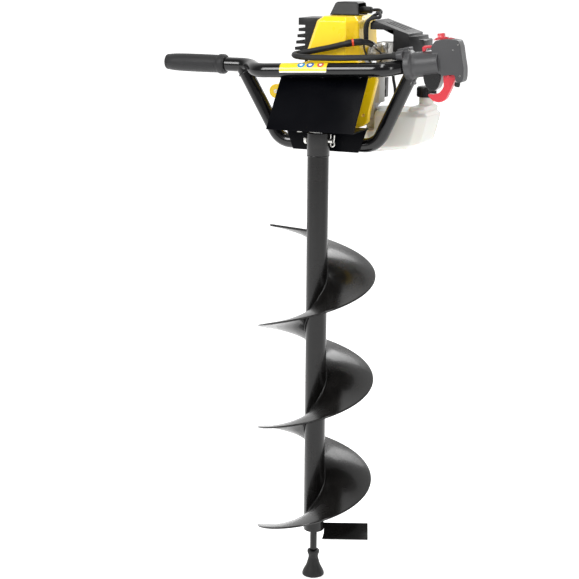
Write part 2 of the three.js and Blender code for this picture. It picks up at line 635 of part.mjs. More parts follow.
const cylinderTop = cylinder.base + cylinder.height;
function cylinderSolid() {
  const profile = [[cylinder.bore, cylinder.base], [cylinder.finRadius, cylinder.base]];
  const pitch = (cylinder.height - 4) / cylinder.fins;
  for (let i = 0; i < cylinder.fins; i += 1) {
    const z = cylinder.base + 3 + i * pitch;
    profile.push([cylinder.finRadius, z], [cylinder.radius, z],
      [cylinder.radius, z + pitch - 3], [cylinder.finRadius, z + pitch - 3]);
  }
  profile.push([cylinder.finRadius, cylinderTop], [plug.radius + gap, cylinderTop],
    [plug.radius + gap, cylinderTop - 6], [cylinder.bore, cylinderTop - 6],
    [cylinder.bore, cylinder.base]);
  return turned('Z', profile, [0, cylinderY, 0], 18);
}
addPart('cylinder', cylinderSolid(), aluminium);

const pistonRadius = cylinder.bore - slip;
const pistonFloor = piston.top - piston.height;
addPart('piston', turned('Z', [
  [0, piston.top - piston.wall], [pistonRadius - piston.wall, piston.top - piston.wall],
  [pistonRadius - piston.wall, pistonFloor], [pistonRadius, pistonFloor],
  [pistonRadius, piston.top], [0, piston.top],
], [0, cylinderY, 0], 18), aluminium);

// The rod's big end stops above the circle that the crank sweeps.
const rodFoot = crank.height + crank.webRadius + 1.5;
const wristZ = pistonFloor + 8;
addPart('connecting_rod', join(
  box(-rod.width / 2, rod.width / 2, cylinderY - rod.thickness / 2,
    cylinderY + rod.thickness / 2, rodFoot, wristZ),
  disc('Y', rod.endRadius, -rod.thickness / 2, rod.thickness / 2, [0, cylinderY, wristZ], 16),
), steel);

const plugFloor = cylinderTop - 5;
addPart('spark_plug', turned('Z', [
  [0, plugFloor], [plug.radius, plugFloor], [plug.radius, cylinderTop + gap],
  [plug.radius + 3, cylinderTop + gap], [plug.radius + 3, cylinderTop + 6],
  [plug.radius - 1.5, cylinderTop + 7], [plug.radius - 2.5, plugFloor + plug.length],
  [plug.tip, plugFloor + plug.length], [plug.tip, plugFloor + plug.length + 5],
  [0, plugFloor + plug.length + 5],
], [0, cylinderY, 0], 14), steel);

// ---------------------------------------------------------------- engine covers

const planAt = (z, inset, front) => {
  const share = (z - shroud.floor) / (shroud.top - shroud.floor);
  const left = shroudPlan.left + (shroudPlan.topLeft - shroudPlan.left) * share + inset;
  const right = shroudPlan.right - 5 * share - inset;
  const slope = inset * 0.41;
  return [
    [left, shroud.back - inset, z], [left, front + 8 + slope, z], [left + 8 - slope, front, z],
    [shroudPlan.bevelX - slope, front, z], [right, shroudPlan.bevelY + slope, z],
    [right, shroud.back - inset, z],
  ];
};
const shroudShell = (inset, floor, top) =>
  loft([planAt(floor, inset, shroud.front + inset), planAt(top - 8, inset, shroud.front + 1 + inset),
    planAt(top, inset + 6, shroud.front + 7 + inset)]);
const bootRadius = 9;
addPart('engine_shroud', cut(
  shroudShell(0, shroud.floor, shroud.top),
  shroudShell(shroud.wall, shroud.floor - 1, shroud.top - shroud.wall),
  disc('Z', bootRadius + 7, shroud.top - 20, shroud.top + 5, [0, cylinderY, 0], 16),
  box(shroudPlan.left - 2, muffler.right + 1, muffler.front - 1, muffler.back + 1, shroud.floor - 1,
    muffler.top + 1),
), yellow);

// The rubber boot grips the plug, turns to the right and lets the lead down beside the shroud.
const bootFloor = cylinderTop + 7.5;
const bootTop = shroud.top + 6;
const leadX = shroudPlan.right + 6;
addPart('plug_boot', cut(join(
  disc('Z', bootRadius, bootFloor, bootTop, [0, cylinderY, 0], 14),
  cable([[0, cylinderY, bootTop - 6], [24, cylinderY, bootTop + 3], [44, cylinderY - 4, bootTop + 3]],
    6, 6),
  cable([[42, cylinderY - 4, bootTop + 3], [60, cylinderY - 10, bootTop + 4],
    [67, cylinderY - 20, bootTop], [60, cylinderY - 28, shroud.top + 3],
    [leadX + 4, cylinderY - 31, shroud.top - 4], [leadX, cylinderY - 32, shroud.top - 18],
    [leadX, cylinderY - 32, shroud.top - 40]], 2.8, 20),
), disc('Z', plug.radius - 1, bootFloor - 1, plugFloor + plug.length + 6, [0, cylinderY, 0], 14)),
rubber);

const topFloor = shroud.top + gap;
const topRoof = topFloor + topCover.height;
const topBody = loft([
  [[topCover.left, topCover.front, topFloor], [topCover.right, topCover.front, topFloor],
    [topCover.right, topCover.back, topFloor], [topCover.left, topCover.back, topFloor]],
  [[topCover.left + 9, topCover.front + 3, topRoof - 2],
    [topCover.right - 3, topCover.front + 3, topRoof - 2],
    [topCover.right - 3, topCover.back - 3, topRoof - 2],
    [topCover.left + 9, topCover.back - 3, topRoof - 2]],
  [[topCover.left + 12, topCover.front + 6, topRoof],
    [topCover.right - 6, topCover.front + 6, topRoof],
    [topCover.right - 6, topCover.back - 6, topRoof],
    [topCover.left + 12, topCover.back - 6, topRoof]],
]);
const topHollow = box(topCover.left + 13, topCover.right + 4, topCover.front + 5, topCover.back - 5,
  topFloor - 1, topRoof - topCover.wall);
addPart('top_cover', cut(topBody, topHollow), blackPlastic);

// ---------------------------------------------------------------- muffler and its guard

const mufflerGap = 2;
addPart('muffler', box(muffler.left, muffler.right, muffler.front, muffler.back, muffler.floor,
  muffler.top), steel);
const guardFront = muffler.front - mufflerGap - mufflerGuard.wall;
const guardBack = muffler.back + mufflerGap + mufflerGuard.wall;
const guardRoof = muffler.top + mufflerGap;
const guardFloor = muffler.floor - guardSide.drop;
function mufflerGuardSolid() {
  const { wall, rib, ribPitch, ribs, left, step, cap } = mufflerGuard;
  const sidePlate = [[guardSide.solidLeft, guardFloor], [guardSide.lowRight, guardFloor],
    [guardSide.highRight, guardRoof + 1], [guardSide.solidLeft, guardRoof + 1]];
  const pieces = [
    box(left, guardSide.highRight, guardFront, guardBack, guardRoof, guardRoof + cap),
    prism('Y', sidePlate, guardFront, guardFront + wall),
    prism('Y', sidePlate, guardBack - wall, guardBack),
    box(left, left + wall, guardBack - guardSide.post, guardBack, guardFloor, guardRoof + 1),
  ];
  for (let i = 0; i < ribs; i += 1) {
    const z = guardRoof - (i + 1) * ribPitch;
    const end = left - step * i;
    const inner = guardSide.solidLeft + 1;
    pieces.push(box(end, end + wall + 0.6, guardFront, guardBack, z, z + rib));
    pieces.push(box(end, inner, guardFront, guardFront + wall, z, z + rib));
    pieces.push(box(end, inner, guardBack - wall, guardBack, z, z + rib));
  }
  return join(...pieces);
}
addPart('muffler_guard', mufflerGuardSolid(), blackPlastic);

// ---------------------------------------------------------------- carburettor and air filter

const intakeStart = shroudPlan.right + 1;
const carbMidY = (carb.front + carb.back) / 2;
const leverX = (carb.left + carb.right) / 2;
const leverZ = carb.top - 16;
addPart('carburettor', cut(join(
  box(carb.left, carb.right, carb.front, carb.back, carb.floor, carb.top - 4),
  disc('X', 11, intakeStart, carb.right + 2, [0, carbMidY, carb.axis], 16),
  disc('X', 14, intakeStart, intakeStart + 4, [0, carbMidY, carb.axis], 16),
), disc('Y', carbLever.post + slip, carb.front - 1, carb.front + 9, [leverX, 0, leverZ], 12)),
aluminium);
const leverFront = carb.front - gap - carbLever.thickness;
addPart('carb_throttle_lever', join(
  disc('Y', carbLever.post, leverFront, carb.front + 8, [leverX, 0, leverZ], 12),
  box(leverX - carbLever.width / 2, leverX + carbLever.width / 2, leverFront, carb.front - gap,
    leverZ - 4, leverZ + carbLever.length / 2),
), steel);

// The cover is a box over the filter with a lid that reaches back over the carburettor.
const lidFloor = filter.top - filterBox.lidDrop;
const filterSection = [
  [filter.left, lidFloor], [filterBox.left, lidFloor], [filterBox.left, filter.floor],
  [filter.right, filter.floor], [filter.right, filter.rightTop - 2],
  [filter.right - 2, filter.rightTop], [filter.right - 7, filter.rightTop],
  [filter.right - 8, filterBox.ledge], [filterBox.lidRight, filterBox.ledge],
  [filterBox.lidRight, filterBox.lidEdge], [filter.left + 5, filter.top],
  [filter.left, filter.top - 5],
];
const lidSlope = (filter.top - filterBox.lidEdge) / (filterBox.lidRight - filter.left - 5);
const lidAt = (x) => filter.top - (x - filter.left - 5) * lidSlope - filterWall;
const hollowEdge = filterBox.lidRight - filterWall;
const hollowTop = filter.rightTop - filterWall;
const filterHollow = [
  [filter.left + filterWall, lidFloor - 1], [filterBox.left + filterWall, lidFloor - 1],
  [filterBox.left + filterWall, filter.floor - 1], [filter.right - filterWall, filter.floor - 1],
  [filter.right - filterWall, hollowTop], [hollowEdge, hollowTop],
  [hollowEdge, lidAt(hollowEdge)], [filter.left + 6, lidAt(filter.left + 6)],
  [filter.left + filterWall, filter.top - 6],
];
const ventSlots = [0, 1, 2].map((i) => {
  const y = filter.front + 28 + i * 15;
  return box(filter.left + 18, filter.right - 34, y, y + 5, filter.rightTop + 4, filter.top + 5);
});
// Cuts the box's front right corner back, and its lining a little further.
const cornerCut = (inset) => {
  const { width, depth } = filterCorner;
  const edge = filter.right + 1;
  return prism('Z', [
    [filter.right - width - inset - width / depth, filter.front - 1], [edge, filter.front - 1],
    [edge, filter.front + ((width + inset + 1) * depth) / width],
  ], filter.floor - 5, filter.top);
};
addPart('air_filter_cover', cut(
  prism('Y', filterSection, filter.front, filter.back),
  cut(prism('Y', filterHollow, filter.front + filterWall, filter.back - filterWall),
    cornerCut(filterWall + 0.4)),
  cornerCut(0),
  ...ventSlots,
), blackPlastic);
const baseStart = filterBox.left + filterWall + gap;
const baseEnd = baseStart + filterBox.base;
addPart('air_filter_base', box(baseStart, baseEnd, filter.front + 4, filter.back - 4,
  filter.floor + 1, filter.rightTop - 4), blackPlastic);
addPart('air_filter_element', cut(box(baseEnd + gap, filter.right - filterWall - 2,
  filter.front + 6, filter.back - 6, filter.floor + 3, filter.rightTop - 6),
cornerCut(filterWall + 3)), foam);

// ---------------------------------------------------------------- fuel tank

// The floor of the tank rises to the right by tilt.
const tankRing = (z, inset, lift, tilt) => {
  const [x0, x1] = [tank.left + inset, tank.right - inset - lift];
  const [y0, y1] = [tank.front + inset, tank.back - inset];
  const corner = 14;
  const at = (x, y) => [x, y, z + (tilt * (x - tank.left)) / (tank.right - tank.left)];
  return [
    at(x0 + corner, y0), at(x1 - corner, y0), at(x1, y0 + corner), at(x1, y1 - corner),
    at(x1 - corner, y1), at(x0 + corner, y1), at(x0, y1 - corner), at(x0, y0 + corner),
  ];
};
const tankShell = (inset) => loft([
  tankRing(tank.floor + inset, 9 + inset, 14, tank.rise),
  tankRing(tank.floor + 7 + inset / 2, inset, 12, tank.rise),
  tankRing(tank.floor + 30, inset, 7, tank.rise / 2), tankRing(tank.top - 7 - inset / 2, inset, 0, 0),
  tankRing(tank.top - inset, 7 + inset, 0, 0),
]);
const shoulderRing = (z, inset) => {
  const { left, corner } = tankShoulder;
  const [x0, x1] = [left + inset, tank.right - tankShoulder.inset - inset];
  const [y0, y1] = [tank.front + 9 + inset, tank.back - 9 - inset];
  return [
    [x0 + corner, y0, z], [x1 - corner, y0, z], [x1, y0 + corner, z], [x1, y1 - corner, z],
    [x1 - corner, y1, z], [x0 + corner, y1, z], [x0, y1 - corner, z], [x0, y0 + corner, z],
  ];
};
const shoulderTop = tank.top + tankShoulder.height;
const shoulder = (inset) => loft([shoulderRing(tank.top - 12, inset + 3),
  shoulderRing(shoulderTop - 4 - inset, inset), shoulderRing(shoulderTop - inset, inset + 3)]);
const neckPlace = [neck.x, neck.y, 0];
const tankStep = (inset) => box(tank.left - 5, tankNotch.right + inset, tank.front - 5,
  tankNotch.back + inset, tankNotch.floor - inset, tank.top + 5);
addPart('fuel_tank', cut(
  join(cut(tankShell(0), tankStep(0)), shoulder(0),
    disc('Z', neck.radius, shoulderTop - 2, neck.top, neckPlace, 20)),
  join(cut(tankShell(tank.wall), tankStep(tank.wall)), shoulder(tank.wall)),
  disc('Z', neck.radius - neck.wall, tank.top - 12, neck.top + 1, neckPlace, 16),
), tankWhite);
const capFloor = neck.top - 10;
addPart('fuel_cap', turned('Z', [
  [neck.radius + slip, capFloor], [fuelCap.radius, capFloor],
  [fuelCap.radius, capFloor + fuelCap.height - 2], [fuelCap.radius - 2, capFloor + fuelCap.height],
  [0, capFloor + fuelCap.height], [0, neck.top + slip], [neck.radius + slip, neck.top + slip],
  [neck.radius + slip, capFloor],
], neckPlace, 20), blackPlastic);
const lineX = carb.right - 6;
addPart('fuel_line', cable([
  [lineX - 2, 148, tank.top + gap], [lineX - 2, 148, tank.top + 14], [lineX - 1, 142, tank.top + 34],
  [lineX, 130, carb.floor - 26], [lineX, 128, carb.floor - 12], [lineX, 128, carb.floor - gap],
], 2.6, 14), blackPlastic);

// ---------------------------------------------------------------- recoil starter

const starterStart = caseEnd + gap;
const starterEnd = starterStart + starter.depth;
const ropeHole = [starter.radius - 9, starterEnd, crank.height];
addPart('starter_housing', cut(
  disc('Y', starter.radius, starterStart, starterEnd, onCrank, 22),
  disc('Y', starter.radius - starter.wall, starterStart - 1, starterEnd - starter.wall, onCrank, 22),
  disc('Y', 3, -5, 1, ropeHole, 10),
), blackPlastic);
const pulleyStart = starterEnd - starter.wall - gap - starter.pulleyWidth;
addPart('starter_pulley', turned('Y', [
  [0, pulleyStart], [starter.pulleyRadius, pulleyStart], [starter.pulleyRadius, pulleyStart + 2],
  [starter.pulleyRadius - 8, pulleyStart + 2.5],
  [starter.pulleyRadius - 8, pulleyStart + starter.pulleyWidth - 2.5],
  [starter.pulleyRadius, pulleyStart + starter.pulleyWidth - 2],
  [starter.pulleyRadius, pulleyStart + starter.pulleyWidth], [0, pulleyStart + starter.pulleyWidth],
], onCrank, 26), blackPlastic);
addPart('starter_handle', join(
  disc('Y', 2.2, -starter.depth + 4, 2, ropeHole, 10),
  disc('Y', starterGrip.radius, gap, 9, ropeHole, 14),
  box(ropeHole[0] - 7, ropeHole[0] + 7, starterEnd + 6, starterEnd + 18,
    crank.height - starterGrip.length / 2, crank.height + starterGrip.length / 2),
), blackPlastic);

// ---------------------------------------------------------------- tube frame

const boreRadius = frameTube.radius - frameTube.wall;
const plane = frameTube.plane;
const rightHandleZ = (x) => handle.rightHeight + (x - handle.inner) * Math.tan(rad(handle.rightRise));
const rightEnd = handle.inner + throttleHead.tubeDepth * Math.cos(rad(handle.rightRise));
const leftElbow = bar.left + bar.sweep;
const rightElbow = bar.right + bar.sweep;
const handlebarCorners = [
  [-leftGrip.outer + leftGrip.end, plane, handle.height], [-leftElbow, plane, handle.height],
  [-bar.left, bar.plane, bar.leftHeight], [bar.right, bar.plane, bar.rightHeight],
  [rightElbow, plane, rightHandleZ(rightElbow)], [rightEnd, plane, rightHandleZ(rightEnd)],
];
addPart('handlebar_tube', bentTube(handlebarCorners, bar.bend, frameTube.radius, boreRadius), gloss);

// The lower tube's legs are notched to the underside of the handlebar, where they are welded.
const legEnd = 2;
const lowerCorners = [
  [-lowerTube.leftTop, plane, handle.height - legEnd],
  [-lowerTube.leftBottom, plane, lowerTube.height],
  [lowerTube.rightBottom, plane, lowerTube.height],
  [lowerTube.rightTop, plane, rightHandleZ(lowerTube.rightTop) - legEnd],
];
const handlebarTool = bentTube(handlebarCorners, bar.bend, frameTube.radius + gap);
addPart('lower_frame_tube', cut(
  bentTube(lowerCorners, lowerTube.bend, frameTube.radius, boreRadius), handlebarTool), gloss);

const gripBore = frameTube.radius + gap;
const gripRadius = frameTube.radius + leftGrip.wall;
const gripEndRadius = frameTube.radius + leftGrip.endWall;
const gripEnd = -leftGrip.outer;
const gripInnerEnd = -leftGrip.inner;
addPart('left_grip', turned('X', [
  [0, gripEnd], [gripEndRadius, gripEnd], [gripEndRadius + 0.6, gripEnd + leftGrip.end],
  [gripRadius - 1, gripEnd + 30], [gripRadius - 1, gripInnerEnd - 14],
  [gripRadius + 0.6, gripInnerEnd - 10], [gripRadius + 0.6, gripInnerEnd - 2],
  [gripRadius - 1, gripInnerEnd], [gripBore, gripInnerEnd],
  [gripBore, gripEnd + leftGrip.end - gap], [0, gripEnd + leftGrip.end - gap],
], [0, plane, handle.height], 20), rubber);

// ---------------------------------------------------------------- guard plate and hanger

const shelfFloor = shelf.height;
const shelfTop = shelf.height + shelf.thickness;
const lean = Math.atan2(guard.topY - shelf.front, guard.top - shelfFloor);
const skin = shelf.thickness / Math.cos(lean);
const barSpan = (bar.left + bar.right) / 2;
const guardOutline = [
  [shelf.front, shelfFloor], [shelf.back, shelfFloor], [shelf.back, shelfTop],
  [shelf.front + skin + shelf.thickness * Math.tan(lean), shelfTop],
  [guard.topY + skin, guard.top], [guard.topY, guard.top],
];
addPart('front_guard_plate', cut(
  prism('X', guardOutline, -shelf.halfWidth, shelf.halfWidth),
  disc('Z', bossRadius + gap, shelfFloor - 5, shelfTop + 0.2, [0, 0, 0], 24),
  prism('Y', [[-barSpan, bar.leftHeight - guard.underBar], [barSpan, bar.rightHeight - guard.underBar],
    [barSpan, guard.top + 10], [-barSpan, guard.top + 10]], 0, 60),
  handlebarTool, ...boltHoles,
), plateBlack);

const hangerTop = shelfFloor - gap;
const hangerBack = plane - frameTube.radius - gap;
addPart('hanger_bracket', prism('Y', [
  [-hanger.bottomHalf, hangerTop - hanger.drop], [hanger.bottomHalf, hangerTop - hanger.drop],
  [hanger.topHalf, hangerTop], [-hanger.topHalf, hangerTop],
], hangerBack - hanger.thickness, hangerBack), plateBlack);

// ---------------------------------------------------------------- throttle hand grip

const barrelRadius = frameTube.radius + throttle.barrelWall;
const flangeEnd = throttle.flangeStart + throttle.flangeWidth;
const gripInner = frameTube.radius + gap;
const headFrom = throttle.barrelEnd - 2;
const headTop = throttleHead.top;
const headEnd = throttle.headEnd;
const headOutline = [[headFrom, -14], [headFrom + 6, -21], [headEnd - 15, -21],
  [headEnd - 14, -33], [headEnd - 4, -35], [headEnd - 1, -28], [headEnd + 1, -12], [headEnd, 2],
  [headEnd - 1, 24], [headEnd - 4, headTop - 4], [headFrom + 20, headTop], [headFrom, headTop],
  [headFrom - 8, headTop - 11], [headFrom - 8, 15], [headFrom, 10]];
const podOutline = [[headFrom - 28, -12], [headFrom - 26, -30], [headFrom - 21, -41],
  [headFrom - 12, -45], [headFrom - 4, -40], [headFrom + 1, -28], [headFrom + 3, -16],
  [headFrom + 3, -4], [headFrom - 28, -4]];
const headHalf = throttleHead.half;
const inThrottleGroup = (shape) => shape.translate([-handle.inner, -plane, -handle.rightHeight])
  .rotate([0, handle.rightRise, 0]);
const legNotch = inThrottleGroup(bentTube(lowerCorners, lowerTube.bend, frameTube.radius + 1));
const barNotch = inThrottleGroup(handlebarTool);
const triggerSlotHalf = trigger.thickness / 2 + 1;
const triggerPivot = [trigger.pivotX, 0, trigger.pivotZ];
const gripBody = cut(join(
  disc('X', barrelRadius + 5, throttle.flangeStart, flangeEnd, [0, 0, 0], 20),
  box(throttle.flangeStart, flangeEnd, -9, 9, -32, 30),
  box(throttle.flangeStart - 11, throttle.flangeStart + 1, -9, 8, 14.5, 29),
  disc('X', barrelRadius, flangeEnd - 1, throttle.barrelEnd, [0, 0, 0], 20),
  prism('Y', headOutline, -headHalf, headHalf),
  prism('Y', podOutline, -11, 11),
  disc('X', conduit.radius + 3, throttle.flangeStart - 10, throttle.flangeStart + 1,
    [0, -frameTube.radius - gland.out, frameTube.radius + gland.up], 14),
),
disc('X', gripInner, flangeEnd, throttleHead.tubeDepth + 2, [0, 0, 0], 20),
box(trigger.pivotX - 18, trigger.pivotX + 17, -triggerSlotHalf, triggerSlotHalf, -60, -9),
box(trigger.pivotX - 47, trigger.pivotX - 17, -triggerSlotHalf, triggerSlotHalf, -60, -36),
disc('Y', trigger.post + slip, -11, 11, triggerPivot, 12), legNotch, barNotch);
const frontHalf = box(-20, 150, -60, -gap / 2, -90, 90);
const backHalf = box(-20, 150, gap / 2, 60, -90, 90);
const lockPocket = box(lock.start - 2, lock.start + 8, -lock.width / 2 - 1, lock.width / 2 + 1,
  14.5, 34);
const lockSlot = box(lock.start + 14, lock.end + 2, -lock.width / 2 - 1, lock.width / 2 + 1,
  barrelRadius - 1.5, headTop - 3);
addPart('throttle_housing_front',
  largest(cut(gripBody.intersect(frontHalf), lockPocket, lockSlot)), darkGrey, throttleGroup);
addPart('throttle_housing_back',
  largest(cut(gripBody.intersect(backHalf), lockPocket, lockSlot)), darkGrey, throttleGroup);

// The trigger is a curved blade: its pivot is in the head and its toe sweeps under the pod.
const triggerOutline = [[-9, 4], [14, 3], [13, -4], [9, -9], [-1, -26], [-8, -37], [-15, -41],
  [-22, -41.5], [-31, -38], [-38, -29], [-37, -26], [-29, -27.5], [-19, -26.4], [-13, -21],
  [-10, -16]].map(([x, z]) => [trigger.pivotX + x, trigger.pivotZ + z]);
addPart('throttle_trigger', join(
  prism('Y', triggerOutline, -trigger.thickness / 2, trigger.thickness / 2),
  disc('Y', trigger.post, -10, 10, triggerPivot, 12),
), red, throttleGroup);
const lockFoot = barrelRadius + gap;
addPart('lock_lever', prism('Y', [
  [lock.start, lockFoot], [lock.start + 5, lockFoot], [lock.start + 7.5, lockFoot + 5],
  [lock.end, lockFoot + 2.6], [lock.end, lockFoot + 6], [lock.start + 16, lockFoot + 8.6],
  [lock.start + 4, lockFoot + 9.4], [lock.start, lockFoot + 6.5],
], -lock.width / 2, lock.width / 2), red, throttleGroup);
const switchMiddle = stopSwitch.middle;
addPart('stop_switch', join(
  box(switchMiddle - 12, switchMiddle + 8, -stopSwitch.width / 2, stopSwitch.width / 2,
    headTop + gap, headTop + 3),
  box(switchMiddle - 8, switchMiddle + 3, -4, 4, headTop + 2, stopSwitch.height),
), red, throttleGroup);

// ---------------------------------------------------------------- throttle cable conduit

const barRoof = bar.rightHeight + frameTube.radius;
const conduitRoute = [
  [121, 28, 9.3], [111, 25, 8.6], [92, 15, 7], [50, 10, 5], [10, 10, 3.5], [-24, 12, 3],
  [-48, 20, 3.5], [-58, 32, 5], [-52, 43, 7], [-32, 48, 11], [-4, 50, 17], [20, 52, 23],
  [40, 56, 27], [54, 70, 27], [60, 84, 23], [61, 94, 19],
].map(([x, y, lift]) => [x, y, barRoof + lift]);
addPart('throttle_cable', cable(conduitRoute, conduit.radius, 44), rubber);

export default machine;
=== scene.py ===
import json
import math
import bpy
import bmesh
from mathutils import Matrix, Vector

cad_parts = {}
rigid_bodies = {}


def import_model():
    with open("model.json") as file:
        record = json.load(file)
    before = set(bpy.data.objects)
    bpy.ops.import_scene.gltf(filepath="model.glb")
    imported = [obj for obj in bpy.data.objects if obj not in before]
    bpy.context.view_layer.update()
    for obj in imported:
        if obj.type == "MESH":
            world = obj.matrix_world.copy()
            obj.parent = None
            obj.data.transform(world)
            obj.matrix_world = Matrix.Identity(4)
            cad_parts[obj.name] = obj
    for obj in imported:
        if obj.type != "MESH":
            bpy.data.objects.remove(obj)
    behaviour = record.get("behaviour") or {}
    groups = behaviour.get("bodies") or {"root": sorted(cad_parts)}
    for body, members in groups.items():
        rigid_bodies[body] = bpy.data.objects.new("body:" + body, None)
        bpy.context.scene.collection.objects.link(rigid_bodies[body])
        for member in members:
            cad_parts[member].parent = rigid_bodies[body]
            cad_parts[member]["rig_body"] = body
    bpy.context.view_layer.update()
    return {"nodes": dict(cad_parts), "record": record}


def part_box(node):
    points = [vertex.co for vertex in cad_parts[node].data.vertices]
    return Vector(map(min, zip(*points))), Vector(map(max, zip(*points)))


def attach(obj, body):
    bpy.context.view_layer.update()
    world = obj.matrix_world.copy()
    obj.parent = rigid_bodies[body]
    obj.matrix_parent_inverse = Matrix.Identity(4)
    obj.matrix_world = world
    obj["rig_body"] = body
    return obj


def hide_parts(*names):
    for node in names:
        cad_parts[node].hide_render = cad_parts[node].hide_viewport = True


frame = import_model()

nodes = frame["nodes"]
mm = 0.001


def report(stage):
    print("auger scene:", stage)


# ---- camera: a long lens from the front right, looking a little down at the machine
view = {"distance": 2.405, "height": 1.1, "azimuth": 22, "pitch": 13.52, "yaw": 1.096,
        "roll": 0.45, "lens": 90.3}


def placeCamera():
    a = math.radians(view["azimuth"])
    camera = bpy.data.objects.new("camera", bpy.data.cameras.new("camera"))
    camera.data.lens = view["lens"]
    camera.data.sensor_width = 36
    camera.location = (view["distance"] * math.sin(a), -view["distance"] * math.cos(a), view["height"])
    turn = Matrix.Rotation(a + math.radians(view["yaw"]), 4, "Z")
    tip = Matrix.Rotation(math.radians(90 - view["pitch"]), 4, "X")
    roll = Matrix.Rotation(math.radians(view["roll"]), 4, "Z")
    camera.matrix_world = Matrix.Translation(camera.location) @ turn @ tip @ roll
    bpy.context.scene.collection.objects.link(camera)
    bpy.context.scene.camera = camera


placeCamera()
bpy.context.scene.view_settings.view_transform = "Standard"
report("camera")

# ---- shader groups that several finishes share


def shaderGroup(name, inputs, outputs):
    group = bpy.data.node_groups.new(name, "ShaderNodeTree")
    for label, kind, value in inputs:
        socket = group.interface.new_socket(label, in_out="INPUT", socket_type=kind)
        socket.default_value = value
    for label, kind in outputs:
        group.interface.new_socket(label, in_out="OUTPUT", socket_type=kind)
    return group, group.nodes.new("NodeGroupInput"), group.nodes.new("NodeGroupOutput")


def addNode(tree, kind, values=None, **settings):
    node = tree.nodes.new(kind)
    for key, value in settings.items():
        setattr(node, key, value)
    for key, value in (values or {}).items():
        if isinstance(value, bpy.types.NodeSocket):
            tree.links.new(value, node.inputs[key])
        else:
            node.inputs[key].default_value = value
    return node


color, number = "NodeSocketColor", "NodeSocketFloat"


def makeSurfaceGroup():
    # cloudy tone, fine grain and dust that gathers on upward faces
    group, into, out = shaderGroup("surfaceCharacter", [
        ("Tone", color, (0.5, 0.5, 0.5, 1)), ("Dust Tone", color, (0.4, 0.38, 0.34, 1)),
        ("Variation", number, 0.1), ("Dust", number, 0.05), ("Cloud Scale", number, 18.0),
        ("Grain Scale", number, 900.0), ("Roughness", number, 0.4),
        ("Roughness Spread", number, 0.1)],
        [("Color", color), ("Roughness", number), ("Grain", number)])
    place = addNode(group, "ShaderNodeTexCoord").outputs["Object"]
    cloud = addNode(group, "ShaderNodeTexNoise", {"Vector": place, "Detail": 5.0,
                    "Scale": into.outputs["Cloud Scale"]}).outputs["Fac"]
    grain = addNode(group, "ShaderNodeTexNoise", {"Vector": place, "Detail": 2.0,
                    "Scale": into.outputs["Grain Scale"]}).outputs["Fac"]
    bright = addNode(group, "ShaderNodeMapRange", {"Value": cloud, "From Min": 0.3, "From Max": 0.7,
                     "To Min": -1.0, "To Max": 1.0}).outputs["Result"]
    swing = addNode(group, "ShaderNodeMath", {0: bright, 1: into.outputs["Variation"]},
                    operation="MULTIPLY").outputs[0]
    gain = addNode(group, "ShaderNodeMath", {0: swing, 1: 1.0}, operation="ADD").outputs[0]
    toned = addNode(group, "ShaderNodeVectorMath", {0: into.outputs["Tone"]}, operation="SCALE")
    group.links.new(gain, toned.inputs["Scale"])
    normal = addNode(group, "ShaderNodeNewGeometry").outputs["Normal"]
    height = addNode(group, "ShaderNodeSeparateXYZ", {0: normal}).outputs["Z"]
    facing = addNode(group, "ShaderNodeMapRange", {"Value": height, "From Min": 0.2, "From Max": 1.0,
                     "To Min": 0.0, "To Max": 1.0}).outputs["Result"]
    settled = addNode(group, "ShaderNodeMath", {0: facing, 1: cloud}, operation="MULTIPLY").outputs[0]
    amount = addNode(group, "ShaderNodeMath", {0: settled, 1: into.outputs["Dust"]},
                     operation="MULTIPLY", use_clamp=True).outputs[0]
    mixed = addNode(group, "ShaderNodeMix", {"Factor": amount}, data_type="RGBA")
    group.links.new(toned.outputs[0], mixed.inputs["A"])
    group.links.new(into.outputs["Dust Tone"], mixed.inputs["B"])
    group.links.new(mixed.outputs["Result"], out.inputs["Color"])
    spread = addNode(group, "ShaderNodeMath", {0: bright, 1: into.outputs["Roughness Spread"]},
                     operation="MULTIPLY").outputs[0]
    rough = addNode(group, "ShaderNodeMath", {0: spread, 1: into.outputs["Roughness"]},
                    operation="ADD", use_clamp=True).outputs[0]
    group.links.new(rough, out.inputs["Roughness"])
    group.links.new(grain, out.inputs["Grain"])
    return group


def makeWearGroup():
    # long scuffs and rubbed patches where soil or hands polish the surface
    group, into, out = shaderGroup("scuffing", [
        ("Color", color, (0, 0, 0, 1)), ("Bare", color, (0.3, 0.28, 0.26, 1)),
        ("Amount", number, 0.3), ("Scale", number, 40.0), ("Stretch", number, 6.0)],
        [("Color", color), ("Mask", number)])
    place = addNode(group, "ShaderNodeTexCoord").outputs["Object"]
    spaced = addNode(group, "ShaderNodeCombineXYZ", {"X": 1.0, "Y": 1.0,
                     "Z": into.outputs["Stretch"]}).outputs[0]
    drawn = addNode(group, "ShaderNodeVectorMath", {0: place, 1: spaced},
                    operation="MULTIPLY").outputs[0]
    streak = addNode(group, "ShaderNodeTexNoise", {"Vector": drawn, "Scale": into.outputs["Scale"],
                     "Detail": 8.0, "Roughness": 0.7}).outputs["Fac"]
    mask = addNode(group, "ShaderNodeMapRange", {"Value": streak, "From Min": 0.56, "From Max": 0.78,
                   "To Min": 0.0, "To Max": 1.0}).outputs["Result"]
    scaled = addNode(group, "ShaderNodeMath", {0: mask, 1: into.outputs["Amount"]},
                     operation="MULTIPLY", use_clamp=True).outputs[0]
    mixed = addNode(group, "ShaderNodeMix", {"Factor": scaled, "A": into.outputs["Color"],
                    "B": into.outputs["Bare"]}, data_type="RGBA")
    group.links.new(mixed.outputs["Result"], out.inputs["Color"])
    group.links.new(scaled, out.inputs["Mask"])
    return group


surfaceGroup = makeSurfaceGroup()
wearGroup = makeWearGroup()


